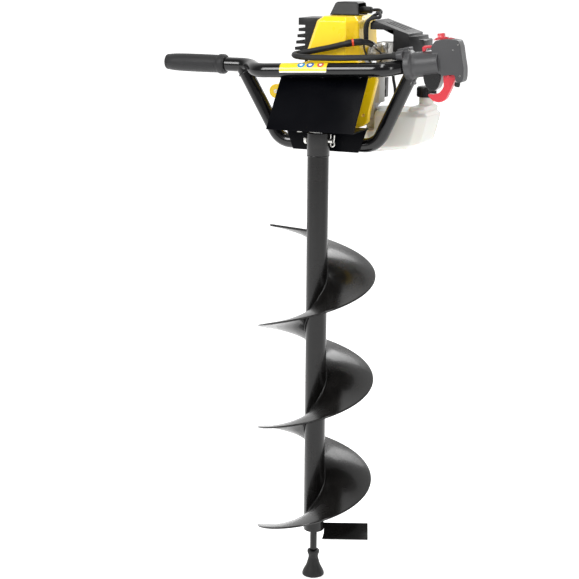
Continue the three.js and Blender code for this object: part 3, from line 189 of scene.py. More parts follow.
def finish(name, tone, roughness, metallic=0.0, coat=0.0, variation=0.12, dust=0.03,
           clouds=18.0, grain=900.0, bump=0.08, spread=0.08, wear=None, extra=None):
    material = bpy.data.materials.new(name)
    material.use_nodes = True
    tree = material.node_tree
    shader = tree.nodes["Principled BSDF"]
    character = addNode(tree, "ShaderNodeGroup", node_tree=surfaceGroup)
    character.inputs["Tone"].default_value = (*tone, 1)
    character.inputs["Variation"].default_value = variation
    character.inputs["Dust"].default_value = dust
    character.inputs["Cloud Scale"].default_value = clouds
    character.inputs["Grain Scale"].default_value = grain
    character.inputs["Roughness"].default_value = roughness
    character.inputs["Roughness Spread"].default_value = spread
    shade = character.outputs["Color"]
    if wear:
        scuffs = addNode(tree, "ShaderNodeGroup", node_tree=wearGroup)
        scuffs.inputs["Bare"].default_value = (*wear["bare"], 1)
        scuffs.inputs["Amount"].default_value = wear["amount"]
        scuffs.inputs["Scale"].default_value = wear["scale"]
        scuffs.inputs["Stretch"].default_value = wear["stretch"]
        tree.links.new(shade, scuffs.inputs["Color"])
        shade = scuffs.outputs["Color"]
    tree.links.new(shade, shader.inputs["Base Color"])
    tree.links.new(character.outputs["Roughness"], shader.inputs["Roughness"])
    relief = addNode(tree, "ShaderNodeBump", {"Strength": bump, "Distance": 0.0003,
                     "Height": character.outputs["Grain"]})
    tree.links.new(relief.outputs["Normal"], shader.inputs["Normal"])
    shader.inputs["Metallic"].default_value = metallic
    shader.inputs["Coat Weight"].default_value = coat
    shader.inputs["Coat Roughness"].default_value = 0.12
    for key, value in (extra or {}).items():
        shader.inputs[key].default_value = value
    return material


dark = {"Specular IOR Level": 0.28, "Coat Roughness": 0.06}
finishes = {
    "frame_paint": finish("glossPowderCoat", (0.0022, 0.0022, 0.0026), 0.16, coat=0.3, dust=0.01,
                          grain=420.0, bump=0.16, spread=0.04, extra=dark),
    "auger_paint": finish("augerEnamel", (0.0036, 0.0033, 0.0032), 0.24, coat=0.12, dust=0.018,
                          variation=0.3, clouds=22.0, grain=300.0, bump=0.16, spread=0.07,
                          wear={"bare": (0.035, 0.031, 0.028), "amount": 0.25, "scale": 28.0,
                                "stretch": 2.5}, extra=dark),
    "plate_paint": finish("satinPowderCoat", (0.0010, 0.0012, 0.0022), 0.34, dust=0.003,
                          grain=700.0, bump=0.2, extra={"Specular IOR Level": 0.05}),
    "zinc_steel": finish("zincPlate", (0.62, 0.61, 0.58), 0.3, metallic=1.0, clouds=90.0),
    "machined_steel": finish("machinedSteel", (0.5, 0.5, 0.51), 0.28, metallic=1.0, clouds=70.0),
    "muffler_steel": finish("mufflerSteel", (0.22, 0.19, 0.16), 0.5, metallic=0.9, variation=0.3),
    "cast_aluminium": finish("castAluminium", (0.4, 0.395, 0.38), 0.46, metallic=0.75, grain=600.0,
                             bump=0.7, variation=0.15, dust=0.1),
    "yellow_plastic": finish("yellowPlastic", (0.96, 0.64, 0.004), 0.3, coat=0.3, variation=0.04,
                             dust=0.0, grain=500.0, bump=0.06, spread=0.05),
    "black_plastic": finish("blackPlastic", (0.0085, 0.0085, 0.0092), 0.36, grain=1500.0, bump=0.4,
                            dust=0.012, extra={"Specular IOR Level": 0.3}),
    "grey_plastic": finish("darkGreyPlastic", (0.038, 0.038, 0.04), 0.42, grain=1700.0, bump=0.45,
                           variation=0.07, dust=0.01),
    "red_plastic": finish("redPlastic", (0.52, 0.018, 0.032), 0.34, coat=0.2, variation=0.05,
                          dust=0.0),
    "tank_plastic": finish("tankPlastic", (0.6, 0.59, 0.55), 0.36, coat=0.1, variation=0.04,
                           clouds=9.0, grain=350.0, bump=0.2, dust=0.0,
                           extra={"Subsurface Weight": 0.25, "Subsurface Scale": 0.006}),
    "rubber": finish("mouldedRubber", (0.009, 0.009, 0.0094), 0.55, grain=1100.0, bump=0.4, dust=0.02,
                     extra={"Specular IOR Level": 0.35}),
    "grip_rubber": finish("gripRubber", (0.011, 0.011, 0.0118), 0.46, grain=1500.0, bump=0.6,
                          dust=0.015, extra={"Specular IOR Level": 0.35}),
    "filter_foam": finish("filterFoam", (0.14, 0.13, 0.07), 0.95, grain=1400.0, bump=1.0),
}
glossBlack = finish("glossBlackPlastic", (0.004, 0.004, 0.0045), 0.2, coat=0.3, grain=900.0, bump=0.1,
                    dust=0.0, extra={"Specular IOR Level": 0.3})
tieOrange = finish("tiePlastic", (0.75, 0.06, 0.012), 0.35, variation=0.08, dust=0.0)
nodeSlots = {part["node"]: part["material_slot"] for part in frame["record"]["subparts"]}
for nodeName, cadNode in nodes.items():
    cadNode.data.materials.clear()
    cadNode.data.materials.append(finishes[nodeSlots[nodeName]])
report("finishes")

# ---- ways of making pieces


def bodyOf(nodeName):
    return nodes[nodeName]["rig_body"]


def settle(piece, body, slotName, *replaced):
    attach(piece, body)
    if replaced:
        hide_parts(*replaced)
    return piece


def newObject(name, mesh, material):
    mesh.materials.clear()
    mesh.materials.append(material)
    piece = bpy.data.objects.new(name, mesh)
    bpy.context.scene.collection.objects.link(piece)
    return piece


def baked(piece, name, material):
    # the piece with its modifiers as plain mesh
    bpy.context.view_layer.update()
    seen = piece.evaluated_get(bpy.context.evaluated_depsgraph_get())
    mesh = bpy.data.meshes.new_from_object(seen)
    bpy.data.objects.remove(piece)
    mesh.name = name
    return newObject(name, mesh, material)


def smoothMesh(mesh, angle=35):
    mesh.polygons.foreach_set("use_smooth", [True] * len(mesh.polygons))
    mesh.set_sharp_from_angle(angle=math.radians(angle))


def meshOf(bm, name, fixNormals=True):
    if fixNormals:
        bmesh.ops.recalc_face_normals(bm, faces=bm.faces)
    mesh = bpy.data.meshes.new(name)
    bm.to_mesh(mesh)
    bm.free()
    return mesh


def turnedMesh(bm, profile, segments=64, matrix=None, closed=False):
    # a profile of (radius, height) in mm, turned about +Z, then placed by matrix
    rings = []
    for radius, height in profile:
        if radius < 1e-6:
            rings.append([bm.verts.new((0, 0, height * mm))])
            continue
        rings.append([bm.verts.new((radius * mm * math.cos(2 * math.pi * i / segments),
                                    radius * mm * math.sin(2 * math.pi * i / segments),
                                    height * mm)) for i in range(segments)])
    pairs = list(zip(rings, rings[1:])) + ([(rings[-1], rings[0])] if closed else [])
    for low, high in pairs:
        for i in range(segments):
            j = (i + 1) % segments
            loop = [low[i % len(low)], low[j % len(low)], high[j % len(high)], high[i % len(high)]]
            unique = [v for k, v in enumerate(loop) if v not in loop[:k]]
            if len(unique) > 2:
                bm.faces.new(unique)
    if matrix is not None:
        bmesh.ops.transform(bm, matrix=matrix, verts=[v for ring in rings for v in ring])


def rounded(corners, radius, steps=4):
    # an outline with each corner swapped for an arc of about that radius
    result = []
    count = len(corners)
    for i, corner in enumerate(corners):
        here = Vector(corner)
        before = Vector(corners[i - 1]) - here
        after = Vector(corners[(i + 1) % count]) - here
        reach = min(radius, before.length * 0.45, after.length * 0.45)
        start = here + before.normalized() * reach
        end = here + after.normalized() * reach
        for k in range(steps + 1):
            t = k / steps
            result.append(tuple(start * (1 - t) ** 2 + here * 2 * t * (1 - t) + end * t ** 2))
    return result


def prismMesh(bm, outline, low, high, matrix=None):
    # an outline of (x, z) in mm between two y places
    front = [bm.verts.new((x * mm, low * mm, z * mm)) for x, z in outline]
    back = [bm.verts.new((x * mm, high * mm, z * mm)) for x, z in outline]
    bm.faces.new(front)
    bm.faces.new(list(reversed(back)))
    for i in range(len(outline)):
        j = (i + 1) % len(outline)
        bm.faces.new([front[i], back[i], back[j], front[j]])
    if matrix is not None:
        bmesh.ops.transform(bm, matrix=matrix, verts=front + back)


def boxMesh(bm, low, high, matrix=None):
    made = bmesh.ops.create_cube(bm, size=1)["verts"]
    size = [(b - a) * mm for a, b in zip(low, high)]
    middle = [(a + b) / 2 * mm for a, b in zip(low, high)]
    place = Matrix.Translation(middle) @ Matrix.Diagonal((*size, 1))
    bmesh.ops.transform(bm, matrix=(matrix or Matrix.Identity(4)) @ place, verts=made)


def mergedCopy(*nodeNames):
    bm = bmesh.new()
    for nodeName in nodeNames:
        bm.from_mesh(nodes[nodeName].data)
    bmesh.ops.remove_doubles(bm, verts=bm.verts, dist=1e-6)
    bmesh.ops.dissolve_limit(bm, angle_limit=math.radians(0.6), verts=bm.verts, edges=bm.edges)
    return bm


def bevelled(name, nodeName, width, segments=3, angle=32, bm=None):
    # a CAD piece with its hard edges broken, as pressed, cast or moulded edges are
    bm = bm or mergedCopy(nodeName)
    slotName = nodeSlots[nodeName]
    piece = newObject(name, meshOf(bm, name, False), finishes[slotName])
    modifier = piece.modifiers.new("edges", "BEVEL")
    modifier.width = width * mm
    modifier.segments = segments
    modifier.limit_method = "ANGLE"
    modifier.angle_limit = math.radians(angle)
    modifier.use_clamp_overlap = True
    piece = baked(piece, name, finishes[slotName])
    smoothMesh(piece.data, angle)
    return settle(piece, bodyOf(nodeName), slotName, nodeName)


def moulded(name, bm, slotName, voxel, rounds, body, *replaced):
    # solids run together and softened, as one moulding with small fillets
    piece = newObject(name, meshOf(bm, name, False), finishes[slotName])
    remesh = piece.modifiers.new("skin", "REMESH")
    remesh.mode = "VOXEL"
    remesh.voxel_size = voxel * mm
    soften = piece.modifiers.new("soften", "SMOOTH")
    soften.iterations = rounds
    soften.factor = 0.5
    piece = baked(piece, name, finishes[slotName])
    piece.data.polygons.foreach_set("use_smooth", [True] * len(piece.data.polygons))
    return settle(piece, body, slotName, *replaced)


def turnedPiece(name, nodeName, profile, segments=64, matrix=None, closed=False, angle=35):
    bm = bmesh.new()
    turnedMesh(bm, profile, segments, matrix, closed)
    piece = newObject(name, meshOf(bm, name), finishes[nodeSlots[nodeName]])
    smoothMesh(piece.data, angle)
    return settle(piece, bodyOf(nodeName), nodeSlots[nodeName], nodeName)


# ---- geometry nodes: a bar, bead or ribbed hose along a path, and copies set on points


def geometryTree(name, inputs):
    tree = bpy.data.node_groups.new(name, "GeometryNodeTree")
    tree.interface.new_socket("Geometry", in_out="INPUT", socket_type="NodeSocketGeometry")
    for label, kind, value in inputs:
        socket = tree.interface.new_socket(label, in_out="INPUT", socket_type=kind)
        if value is not None:
            socket.default_value = value
    tree.interface.new_socket("Geometry", in_out="OUTPUT", socket_type="NodeSocketGeometry")
    return tree, tree.nodes.new("NodeGroupInput"), tree.nodes.new("NodeGroupOutput")


def makePathTree():
    tree, into, out = geometryTree("alongPath", [
        ("Radius", "NodeSocketFloat", 0.005), ("Sides", "NodeSocketInt", 24),
        ("Spacing", "NodeSocketFloat", 0.002), ("Ripple", "NodeSocketFloat", 0.0),
        ("Ripple Every", "NodeSocketInt", 2), ("Material", "NodeSocketMaterial", None)])
    route = addNode(tree, "GeometryNodeMeshToCurve", {"Mesh": into.outputs["Geometry"]})
    spaced = addNode(tree, "GeometryNodeResampleCurve", {"Curve": route.outputs[0],
                     "Length": into.outputs["Spacing"]}, mode="LENGTH")
    index = addNode(tree, "GeometryNodeInputIndex").outputs[0]
    phase = addNode(tree, "ShaderNodeMath", {0: index, 1: into.outputs["Ripple Every"]},
                    operation="MODULO").outputs[0]
    crest = addNode(tree, "ShaderNodeMath", {0: phase, 1: 0.5}, operation="LESS_THAN").outputs[0]
    swell = addNode(tree, "ShaderNodeMath", {0: crest, 1: into.outputs["Ripple"]},
                    operation="MULTIPLY").outputs[0]
    width = addNode(tree, "ShaderNodeMath", {0: 1.0, 1: swell}, operation="SUBTRACT").outputs[0]
    sized = addNode(tree, "GeometryNodeSetCurveRadius", {"Curve": spaced.outputs[0],
                    "Radius": width})
    section = addNode(tree, "GeometryNodeCurvePrimitiveCircle",
                      {"Resolution": into.outputs["Sides"], "Radius": into.outputs["Radius"]})
    swept = addNode(tree, "GeometryNodeCurveToMesh", {"Curve": sized.outputs[0],
                    "Profile Curve": section.outputs[0], "Fill Caps": True})
    real = addNode(tree, "GeometryNodeRealizeInstances", {0: swept.outputs[0]})
    painted = addNode(tree, "GeometryNodeSetMaterial", {"Geometry": real.outputs[0],
                      "Material": into.outputs["Material"]})
    tree.links.new(painted.outputs[0], out.inputs["Geometry"])
    return tree


def makePointTree():
    tree, into, out = geometryTree("onPoints", [
        ("Copy", "NodeSocketObject", None), ("Size", "NodeSocketFloat", 1.0),
        ("Material", "NodeSocketMaterial", None)])
    model = addNode(tree, "GeometryNodeObjectInfo", {"Object": into.outputs["Copy"]})
    aim = addNode(tree, "GeometryNodeInputNamedAttribute", {"Name": "aim"},
                  data_type="FLOAT_VECTOR").outputs["Attribute"]
    turn = addNode(tree, "FunctionNodeAlignRotationToVector", {"Vector": aim}, axis="Z")
    copies = addNode(tree, "GeometryNodeInstanceOnPoints", {"Points": into.outputs["Geometry"],
                     "Instance": model.outputs["Geometry"], "Rotation": turn.outputs[0],
                     "Scale": into.outputs["Size"]})
    real = addNode(tree, "GeometryNodeRealizeInstances", {0: copies.outputs[0]})
    painted = addNode(tree, "GeometryNodeSetMaterial", {"Geometry": real.outputs[0],
                      "Material": into.outputs["Material"]})
    tree.links.new(painted.outputs[0], out.inputs["Geometry"])
    return tree


pathTree = makePathTree()
pointTree = makePointTree()


def runTree(piece, tree, values):
    modifier = piece.modifiers.new("tree", "NODES")
    modifier.node_group = tree
    sockets = {item.name: item.identifier for item in tree.interface.items_tree
               if item.in_out == "INPUT"}
    for label, value in values.items():
        modifier[sockets[label]] = value
    return piece


def bent(corners, radius, steps=14):
    # straight runs joined by round bends, all in mm
    points = [Vector(corners[0])]
    for before, corner, after in zip(corners, corners[1:], corners[2:]):
        a, b, c = Vector(before), Vector(corner), Vector(after)
        into, away = (b - a).normalized(), (c - b).normalized()
        angle = into.angle(away)
        normal = into.cross(away).normalized()
        start = b - into * radius * math.tan(angle / 2)
        centre = start + normal.cross(into) * radius
        for k in range(steps + 1):
            points.append(centre + Matrix.Rotation(angle * k / steps, 3, normal) @ (start - centre))
    points.append(Vector(corners[-1]))
    return points


def flowing(points, steps=10):
    # a smooth curve through a few chosen places, in mm
    p = [Vector(q) for q in points]
    p = [p[0] * 2 - p[1]] + p + [p[-1] * 2 - p[-2]]
    result = []
    for a, b, c, d in zip(p, p[1:], p[2:], p[3:]):
        for k in range(steps):
            t = k / steps
            result.append(0.5 * ((2 * b) + (c - a) * t + (2 * a - 5 * b + 4 * c - d) * t * t
                                 + (3 * b - a - 3 * c + d) * t ** 3))
    return result + [p[-2]]


def pathPiece(name, points, radius, slotName, body, replaced=(), sides=28, spacing=2.0, ripple=0.0,
              every=2):
    bm = bmesh.new()
    chain = [bm.verts.new(Vector(p) * mm) for p in points]
    for a, b in zip(chain, chain[1:]):
        bm.edges.new((a, b))
    route = newObject(name + "Route", meshOf(bm, name + "Route", False), finishes[slotName])
    runTree(route, pathTree, {"Radius": radius * mm, "Sides": sides, "Spacing": spacing * mm,
            "Ripple": ripple, "Ripple Every": every, "Material": finishes[slotName]})
    piece = baked(route, name, finishes[slotName])
    smoothMesh(piece.data, 50)
    return settle(piece, body, slotName, *replaced)


def screwHead():
    bm = bmesh.new()
    turnedMesh(bm, [(0, -0.9), (0.95, -0.9), (1.15, 0.5), (2.5, 0.35), (3.0, -0.2), (3.0, -1.4),
                    (0, -1.4)], 20)
    return newObject("screwHead", meshOf(bm, "screwHead"), finishes["zinc_steel"])


def scattered(name, places, slotName, body, size=1.0):
    # places are (point in mm, direction) pairs
    mesh = bpy.data.meshes.new(name + "Points")
    mesh.from_pydata([Vector(p) * mm for p, _ in places], [], [])
    aim = mesh.attributes.new("aim", "FLOAT_VECTOR", "POINT")
    for k, (_, direction) in enumerate(places):
        aim.data[k].vector = Vector(direction).normalized()
    points = newObject(name + "Points", mesh, finishes[slotName])
    model = screwHead()
    runTree(points, pointTree, {"Copy": model, "Size": size, "Material": finishes[slotName]})
    piece = baked(points, name, finishes[slotName])
    bpy.data.objects.remove(model)
    smoothMesh(piece.data, 40)
    return settle(piece, body, slotName)


def xTurn(x, y, z):
    # local +Z laid along +X at a place in mm
    return Matrix.Translation(Vector((x, y, z)) * mm) @ Matrix.Rotation(math.radians(90), 4, "Y")


def yTurn(x, y, z):
    # local +Z laid along +Y at a place in mm
    return Matrix.Translation(Vector((x, y, z)) * mm) @ Matrix.Rotation(math.radians(-90), 4, "X")


# ---- auger: tube, screw, welds, cutter and pilot
screw = {"tube": 18.0, "rim": 100.0, "pitch": 182.5, "thickness": 4.0, "zero": 537.45,
         "from": -878.0, "to": 167.0, "step": 3.0, "edge": 0.9}


def screwHeight(turn):
    return screw["zero"] + screw["pitch"] * turn / 360


def makeScrewTube():
    low, high = (c.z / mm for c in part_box("auger_tube"))
    r = screw["tube"]
    turnedPiece("screwTube", "auger_tube", [(0, low), (r - 2, low), (r - 0.5, low + 0.6), (r, low + 2),
                (r, high - 1), (r - 0.8, high), (r - 3, high), (r - 3, high - 30), (0, high - 30)], 72)


def makeScrewFlight():
    bm = bmesh.new()
    half, edge, rim = screw["thickness"] / 2, screw["edge"], screw["rim"]
    inner = screw["tube"] - 0.4
    # a section that is thinner and worn round at the rim
    section = [(inner, -half), (40, -half), (70, -half), (rim - 6, -half), (rim - edge, -half + 0.4),
               (rim, -0.5), (rim, 0.5), (rim - edge, half - 0.4), (rim - 6, half), (70, half),
               (40, half), (inner, half)]
    count = int((screw["to"] - screw["from"]) / screw["step"])
    rings = []
    for k in range(count + 1):
        turn = screw["from"] + (screw["to"] - screw["from"]) * k / count
        a = math.radians(turn)
        rings.append([bm.verts.new((r * mm * math.cos(a), r * mm * math.sin(a),
                                    (screwHeight(turn) + h) * mm)) for r, h in section])
    for low, high in zip(rings, rings[1:]):
        for i in range(len(section)):
            j = (i + 1) % len(section)
            bm.faces.new([low[i], low[j], high[j], high[i]])
    bm.faces.new(rings[0])
    bm.faces.new(list(reversed(rings[-1])))
    piece = newObject("screwFlight", meshOf(bm, "screwFlight"), finishes["auger_paint"])
    smoothMesh(piece.data, 40)
    settle(piece, "auger", "auger_paint", "auger_flight")


def makeFlightWelds():
    r = screw["tube"] + 0.6
    turns = [screw["from"] + 4 + k * 6 for k in range(int((screw["to"] - screw["from"] - 8) / 6) + 1)]
    for name, lift in (("upperFlightWeld", 2.4), ("lowerFlightWeld", -2.4)):
        pathPiece(name, [(r * math.cos(math.radians(t)), r * math.sin(math.radians(t)),
                          screwHeight(t) + lift) for t in turns], 1.8, "auger_paint", "auger",
                  sides=8, spacing=1.6, ripple=0.22)


def weldRing(name, centre, axis, radius, body, thickness=1.7, slotName="auger_paint", span=360):
    spin = Vector((0, 0, 1)).rotation_difference(Vector(axis)).to_matrix()
    points = [Vector(centre) + spin @ Vector((radius * math.cos(math.radians(a)),
              radius * math.sin(math.radians(a)), 0)) for a in range(0, span + 1, 6)]
    pathPiece(name, points, thickness, slotName, body, sides=8, spacing=1.5, ripple=0.22)


def makeCutterAndPilot():
    bevelled("cutterBar", "cutter_blade", 0.8, 2)
    lowPilot, highPilot = (c.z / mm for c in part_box("pilot_point"))
    turnedPiece("pilotSpike", "pilot_point", [(0, lowPilot), (1.6, lowPilot), (6.2, lowPilot + 14),
                (6.2, highPilot), (0, highPilot)], 40)
    weldRing("pilotWeld", (0, 0, highPilot - 1.0), (0, 0, 1), 6.8, "auger", 1.5)


def makeFootCap():
    cap = [(0, 0), (17.8, 0), (19.2, 0.8), (19.5, 2.2), (19.3, 4.2), (18.0, 8), (15.6, 12.6),
           (13.2, 17.2), (11.4, 22), (10.1, 27), (9.0, 31), (8.6, 34), (8.7, 37), (9.6, 39.6),
           (10.5, 41.6), (10.6, 43.4), (10.6, 45.6), (10.1, 46.7), (9.2, 47), (6.6, 47), (6.5, 46.4),
           (6.5, 9), (0, 9)]
    turnedPiece("rubberFoot", "foot_cap", cap, 64)


def makeCoupling():
    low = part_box("auger_tube")[1].z / mm + 0.3
    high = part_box("auger_hub")[1].z / mm
    turnedPiece("couplingHub", "auger_hub", [(10.3, high), (18.2, high), (19, high - 0.8),
                (19, low + 1), (18.4, low), (14.7, low), (14.7, low - 26), (10.3, low - 26)],
                64, closed=True)
    weldRing("hubWeld", (0, 0, low - 0.2), (0, 0, 1), 17.8, "auger", 1.4)
    bevelled("crossPin", "coupling_pin", 0.5, 2)
    pinZ = (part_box("coupling_pin")[0].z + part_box("coupling_pin")[1].z) / 2 / mm
    clipLow, clipHigh = (c.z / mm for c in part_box("hitch_clip"))
    x, foot = 22.0, clipLow + 1.3
    route = flowing([(x, 0, clipHigh), (x, 0, pinZ), (x, 0, foot + 3.6), (x + 1.8, 0, foot + 0.7),
                     (x + 4.6, 0, foot + 1.4), (x + 6.6, 0, pinZ - 6), (x + 5.8, 0, pinZ - 1),
                     (x + 6, 0, pinZ + 3), (x + 6.6, 0, clipHigh - 1)])
    pathPiece("springClip", route, 1.25, "zinc_steel", "clip", ["hitch_clip"], sides=12, spacing=0.8)


makeScrewTube()
makeScrewFlight()
makeFlightWelds()
makeCutterAndPilot()
makeFootCap()
makeCoupling()
report("auger")

# ---- tube frame, label, guard plate, left grip
tubes = {"radius": 12.0, "plane": 46.0, "barPlane": 10.0, "left": -118.0, "right": 110.0,
         "sweep": 28.0, "bend": 34.0, "leftHeight": 892.0, "barLeft": 887.0, "barRight": 897.0,
         "innerX": 106.0, "innerZ": 898.0, "rise": 7.5}
rise = math.radians(tubes["rise"])


def rightAxisZ(x):
    return tubes["innerZ"] + (x - tubes["innerX"]) * math.tan(rise)


def barZ(x):
    share = (x - tubes["left"]) / (tubes["right"] - tubes["left"])
    return tubes["barLeft"] + (tubes["barRight"] - tubes["barLeft"]) * share


handlebarEnds = (-302.0, 187.3)
leftElbow, rightElbow = tubes["left"] - tubes["sweep"], tubes["right"] + tubes["sweep"]
handlebarCorners = [
    (handlebarEnds[0], tubes["plane"], tubes["leftHeight"]),
    (leftElbow, tubes["plane"], tubes["leftHeight"]),
    (tubes["left"], tubes["barPlane"], tubes["barLeft"]),
    (tubes["right"], tubes["barPlane"], tubes["barRight"]),
    (rightElbow, tubes["plane"], rightAxisZ(rightElbow)),
    (handlebarEnds[1], tubes["plane"], rightAxisZ(handlebarEnds[1]))]
legs = {"leftTop": -160.0, "leftFoot": -88.0, "rightFoot": 86.0, "rightTop": 150.0, "top": 890.0,
        "bottom": 767.0, "sink": 2.0, "bend": 34.0}
legCorners = [
    (legs["leftTop"], tubes["plane"], legs["top"]),
    (legs["leftFoot"], tubes["plane"], legs["bottom"]),
    (legs["rightFoot"], tubes["plane"], legs["bottom"]),
    (legs["rightTop"], tubes["plane"], rightAxisZ(legs["rightTop"]) - legs["sink"])]


def makeFrameTubes():
    pathPiece("handlebar", bent(handlebarCorners, tubes["bend"]), tubes["radius"], "frame_paint",
              "frame", ["handlebar_tube"], sides=48, spacing=2.2)
    pathPiece("lowerFrame", bent(legCorners, legs["bend"]), tubes["radius"], "frame_paint", "frame",
              ["lower_frame_tube"], sides=48, spacing=2.2)
    for name, top, foot in (("leftLegWeld", legCorners[0], legCorners[1]),
                            ("rightLegWeld", legCorners[3], legCorners[2])):
        axis = (Vector(top) - Vector(foot)).normalized()
        weldRing(name, Vector(top) - axis * 12.5, axis, 12.5, "frame", 1.5, "frame_paint")


weldSpots = {"places": (-54, 2, 66), "radius": 4.2, "drop": 11.2, "y": 3.6}


def makeGuardPlate():
    bevelled("guardPlate", "front_guard_plate", 0.7, 2)
    bevelled("hangerPlate", "hanger_bracket", 0.6, 2)
    bm = bmesh.new()
    r = weldSpots["radius"]
    for x in weldSpots["places"]:
        place = Matrix.Translation(Vector((x, weldSpots["y"] + 9, barZ(x) - weldSpots["drop"])) * mm)
        turnedMesh(bm, [(0, -r * 0.6), (r * 0.8, -r * 0.5), (r, 0), (r * 0.8, r * 0.5), (0, r * 0.6)], 24,
                   place @ Matrix.Rotation(math.radians(58), 4, "X"))
    piece = newObject("plateWelds", meshOf(bm, "plateWelds"), finishes["frame_paint"])
    smoothMesh(piece.data, 60)
    settle(piece, "frame", "frame_paint")


def makeLeftGrip():
    outer = -306.0
    rings = [(0, 0), (10.2, 0), (12.4, 0.8), (13.2, 2.4), (13.4, 4.4), (13.0, 5.0), (13.1, 5.8),
             (13.9, 8), (14.8, 18), (15.3, 34), (15.5, 60), (15.4, 88), (15.3, 99), (15.5, 101),
             (16.5, 102.6), (17.0, 104.4), (17.0, 111), (16.6, 112.6), (15.6, 113.6),
             (15.2, 114.6), (14.4, 115), (12.3, 115), (12.3, 3.9), (0, 3.9)]
    place = xTurn(outer, tubes["plane"], tubes["leftHeight"])
    piece = turnedPiece("handGrip", "left_grip", rings, 72, place)
    bm = bmesh.new()
    outline = rounded([(-268, -4.2), (-208, -4.8), (-208, 4.8), (-268, 4.2)], 4, 6)
    for side in (-1, 1):
        centre = tubes["plane"] + side * 14.7
        prismMesh(bm, [(x, tubes["leftHeight"] + z) for x, z in outline], centre - 0.8, centre + 0.8)
    panel = newObject("gripPanels", meshOf(bm, "gripPanels"), finishes["grip_rubber"])
    modifier = panel.modifiers.new("edges", "BEVEL")
    modifier.width = 0.4 * mm
    modifier.segments = 2
    panel = baked(panel, "gripPanels", finishes["grip_rubber"])
    smoothMesh(panel.data, 40)
    settle(panel, "frame", "grip_rubber")
    return piece


makeFrameTubes()
makeGuardPlate()
makeLeftGrip()

label = {"from": -71.0, "to": 13.0, "low": -14.0, "high": 92.0, "lift": 0.25}


def labelMaterial():
    # a plain yellow warning strip with three round pictogram fields and no lettering
    material = bpy.data.materials.new("labelPrint")
    material.use_nodes = True
    tree = material.node_tree
    shader = tree.nodes["Principled BSDF"]
    uv = addNode(tree, "ShaderNodeUVMap", uv_map="print").outputs[0]
    base = addNode(tree, "ShaderNodeTexNoise", {"Scale": 60.0, "Vector": uv}).outputs["Fac"]
    warm = addNode(tree, "ShaderNodeMix", {"Factor": base, "A": (0.93, 0.66, 0.004, 1),
                   "B": (0.86, 0.6, 0.006, 1)}, data_type="RGBA")
    shade = warm.outputs["Result"]
    parts = addNode(tree, "ShaderNodeSeparateXYZ", {0: uv})
    stripe = addNode(tree, "ShaderNodeMath", {0: parts.outputs["Y"], 1: 0.11},
                     operation="LESS_THAN").outputs[0]
    edge = addNode(tree, "ShaderNodeMix", {"Factor": stripe, "A": shade, "B": (0.8, 0.78, 0.7, 1)},
                   data_type="RGBA")
    shade = edge.outputs["Result"]
    for centre, tone, size in ((0.45, (0.01, 0.24, 0.5, 1), 0.08), (0.64, (0.01, 0.1, 0.42, 1), 0.08),
                               (0.86, (0.6, 0.06, 0.05, 1), 0.07)):
        away = addNode(tree, "ShaderNodeVectorMath", {0: uv, 1: (centre, 0.62, 0)},
                       operation="SUBTRACT").outputs[0]
        squashed = addNode(tree, "ShaderNodeVectorMath", {0: away, 1: (1.0, 0.3, 0)},
                           operation="MULTIPLY").outputs[0]
        far = addNode(tree, "ShaderNodeVectorMath", {0: squashed}, operation="LENGTH").outputs["Value"]
        inside = addNode(tree, "ShaderNodeMath", {0: far, 1: size}, operation="LESS_THAN").outputs[0]
        core = addNode(tree, "ShaderNodeMath", {0: far, 1: size * 0.45}, operation="LESS_THAN").outputs[0]
        field = addNode(tree, "ShaderNodeMix", {"Factor": core, "A": tone, "B": (0.75, 0.8, 0.8, 1)},
                        data_type="RGBA")
        laid = addNode(tree, "ShaderNodeMix", {"Factor": inside, "A": shade,
                       "B": field.outputs["Result"]}, data_type="RGBA")
        shade = laid.outputs["Result"]
    tree.links.new(shade, shader.inputs["Base Color"])
    shader.inputs["Roughness"].default_value = 0.35
    shader.inputs["Coat Weight"].default_value = 0.4
    return material


def makeLabel():
    bm = bmesh.new()
    layer = bm.loops.layers.uv.new("print")
    columns, rows = 24, 20
    grid = []
    for i in range(columns + 1):
        x = label["from"] + (label["to"] - label["from"]) * i / columns
        z = barZ(x)
        column = []
        for j in range(rows + 1):
            a = math.radians(label["low"] + (label["high"] - label["low"]) * j / rows)
            pair = []
            for r in (tubes["radius"] + label["lift"], tubes["radius"] - 0.1):
                pair.append(bm.verts.new((x * mm, (tubes["barPlane"] - r * math.cos(a)) * mm,
                                          (z + r * math.sin(a)) * mm)))
            column.append((pair, i / columns, j / rows))
        grid.append(column)

    def face(corners, side):
        made = bm.faces.new([c[0][side] for c in corners])
        for loop, corner in zip(made.loops, corners):
            loop[layer].uv = (corner[1], corner[2])

    for i in range(columns):
        for j in range(rows):
            ring = [grid[i][j], grid[i + 1][j], grid[i + 1][j + 1], grid[i][j + 1]]
            face(ring, 0)
            face(list(reversed(ring)), 1)
    border = ([(i, 0) for i in range(columns)] + [(columns, j) for j in range(rows)]
              + [(i, rows) for i in range(columns, 0, -1)] + [(0, j) for j in range(rows, 0, -1)])
    for (i, j), (k, n) in zip(border, border[1:] + border[:1]):
        a, b = grid[i][j], grid[k][n]
        made = bm.faces.new([a[0][0], a[0][1], b[0][1], b[0][0]])
        for loop, corner in zip(made.loops, (a, a, b, b)):
            loop[layer].uv = (corner[1], corner[2])
    piece = newObject("warningLabel", meshOf(bm, "warningLabel"), labelMaterial())
    smoothMesh(piece.data, 40)
    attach(piece, "frame")


makeLabel()
report("frame")

# ---- throttle hand grip, in its own axes along the right handle
handleMatrix = (Matrix.Translation(Vector((tubes["innerX"], tubes["plane"], tubes["innerZ"])) * mm)
                @ Matrix.Rotation(-rise, 4, "Y"))
grip = {"flange": 30.0, "flangeEnd": 43.0, "barrelEnd": 88.0, "headEnd": 128.0, "headHalf": 13.0,
        "pod": 11.0}


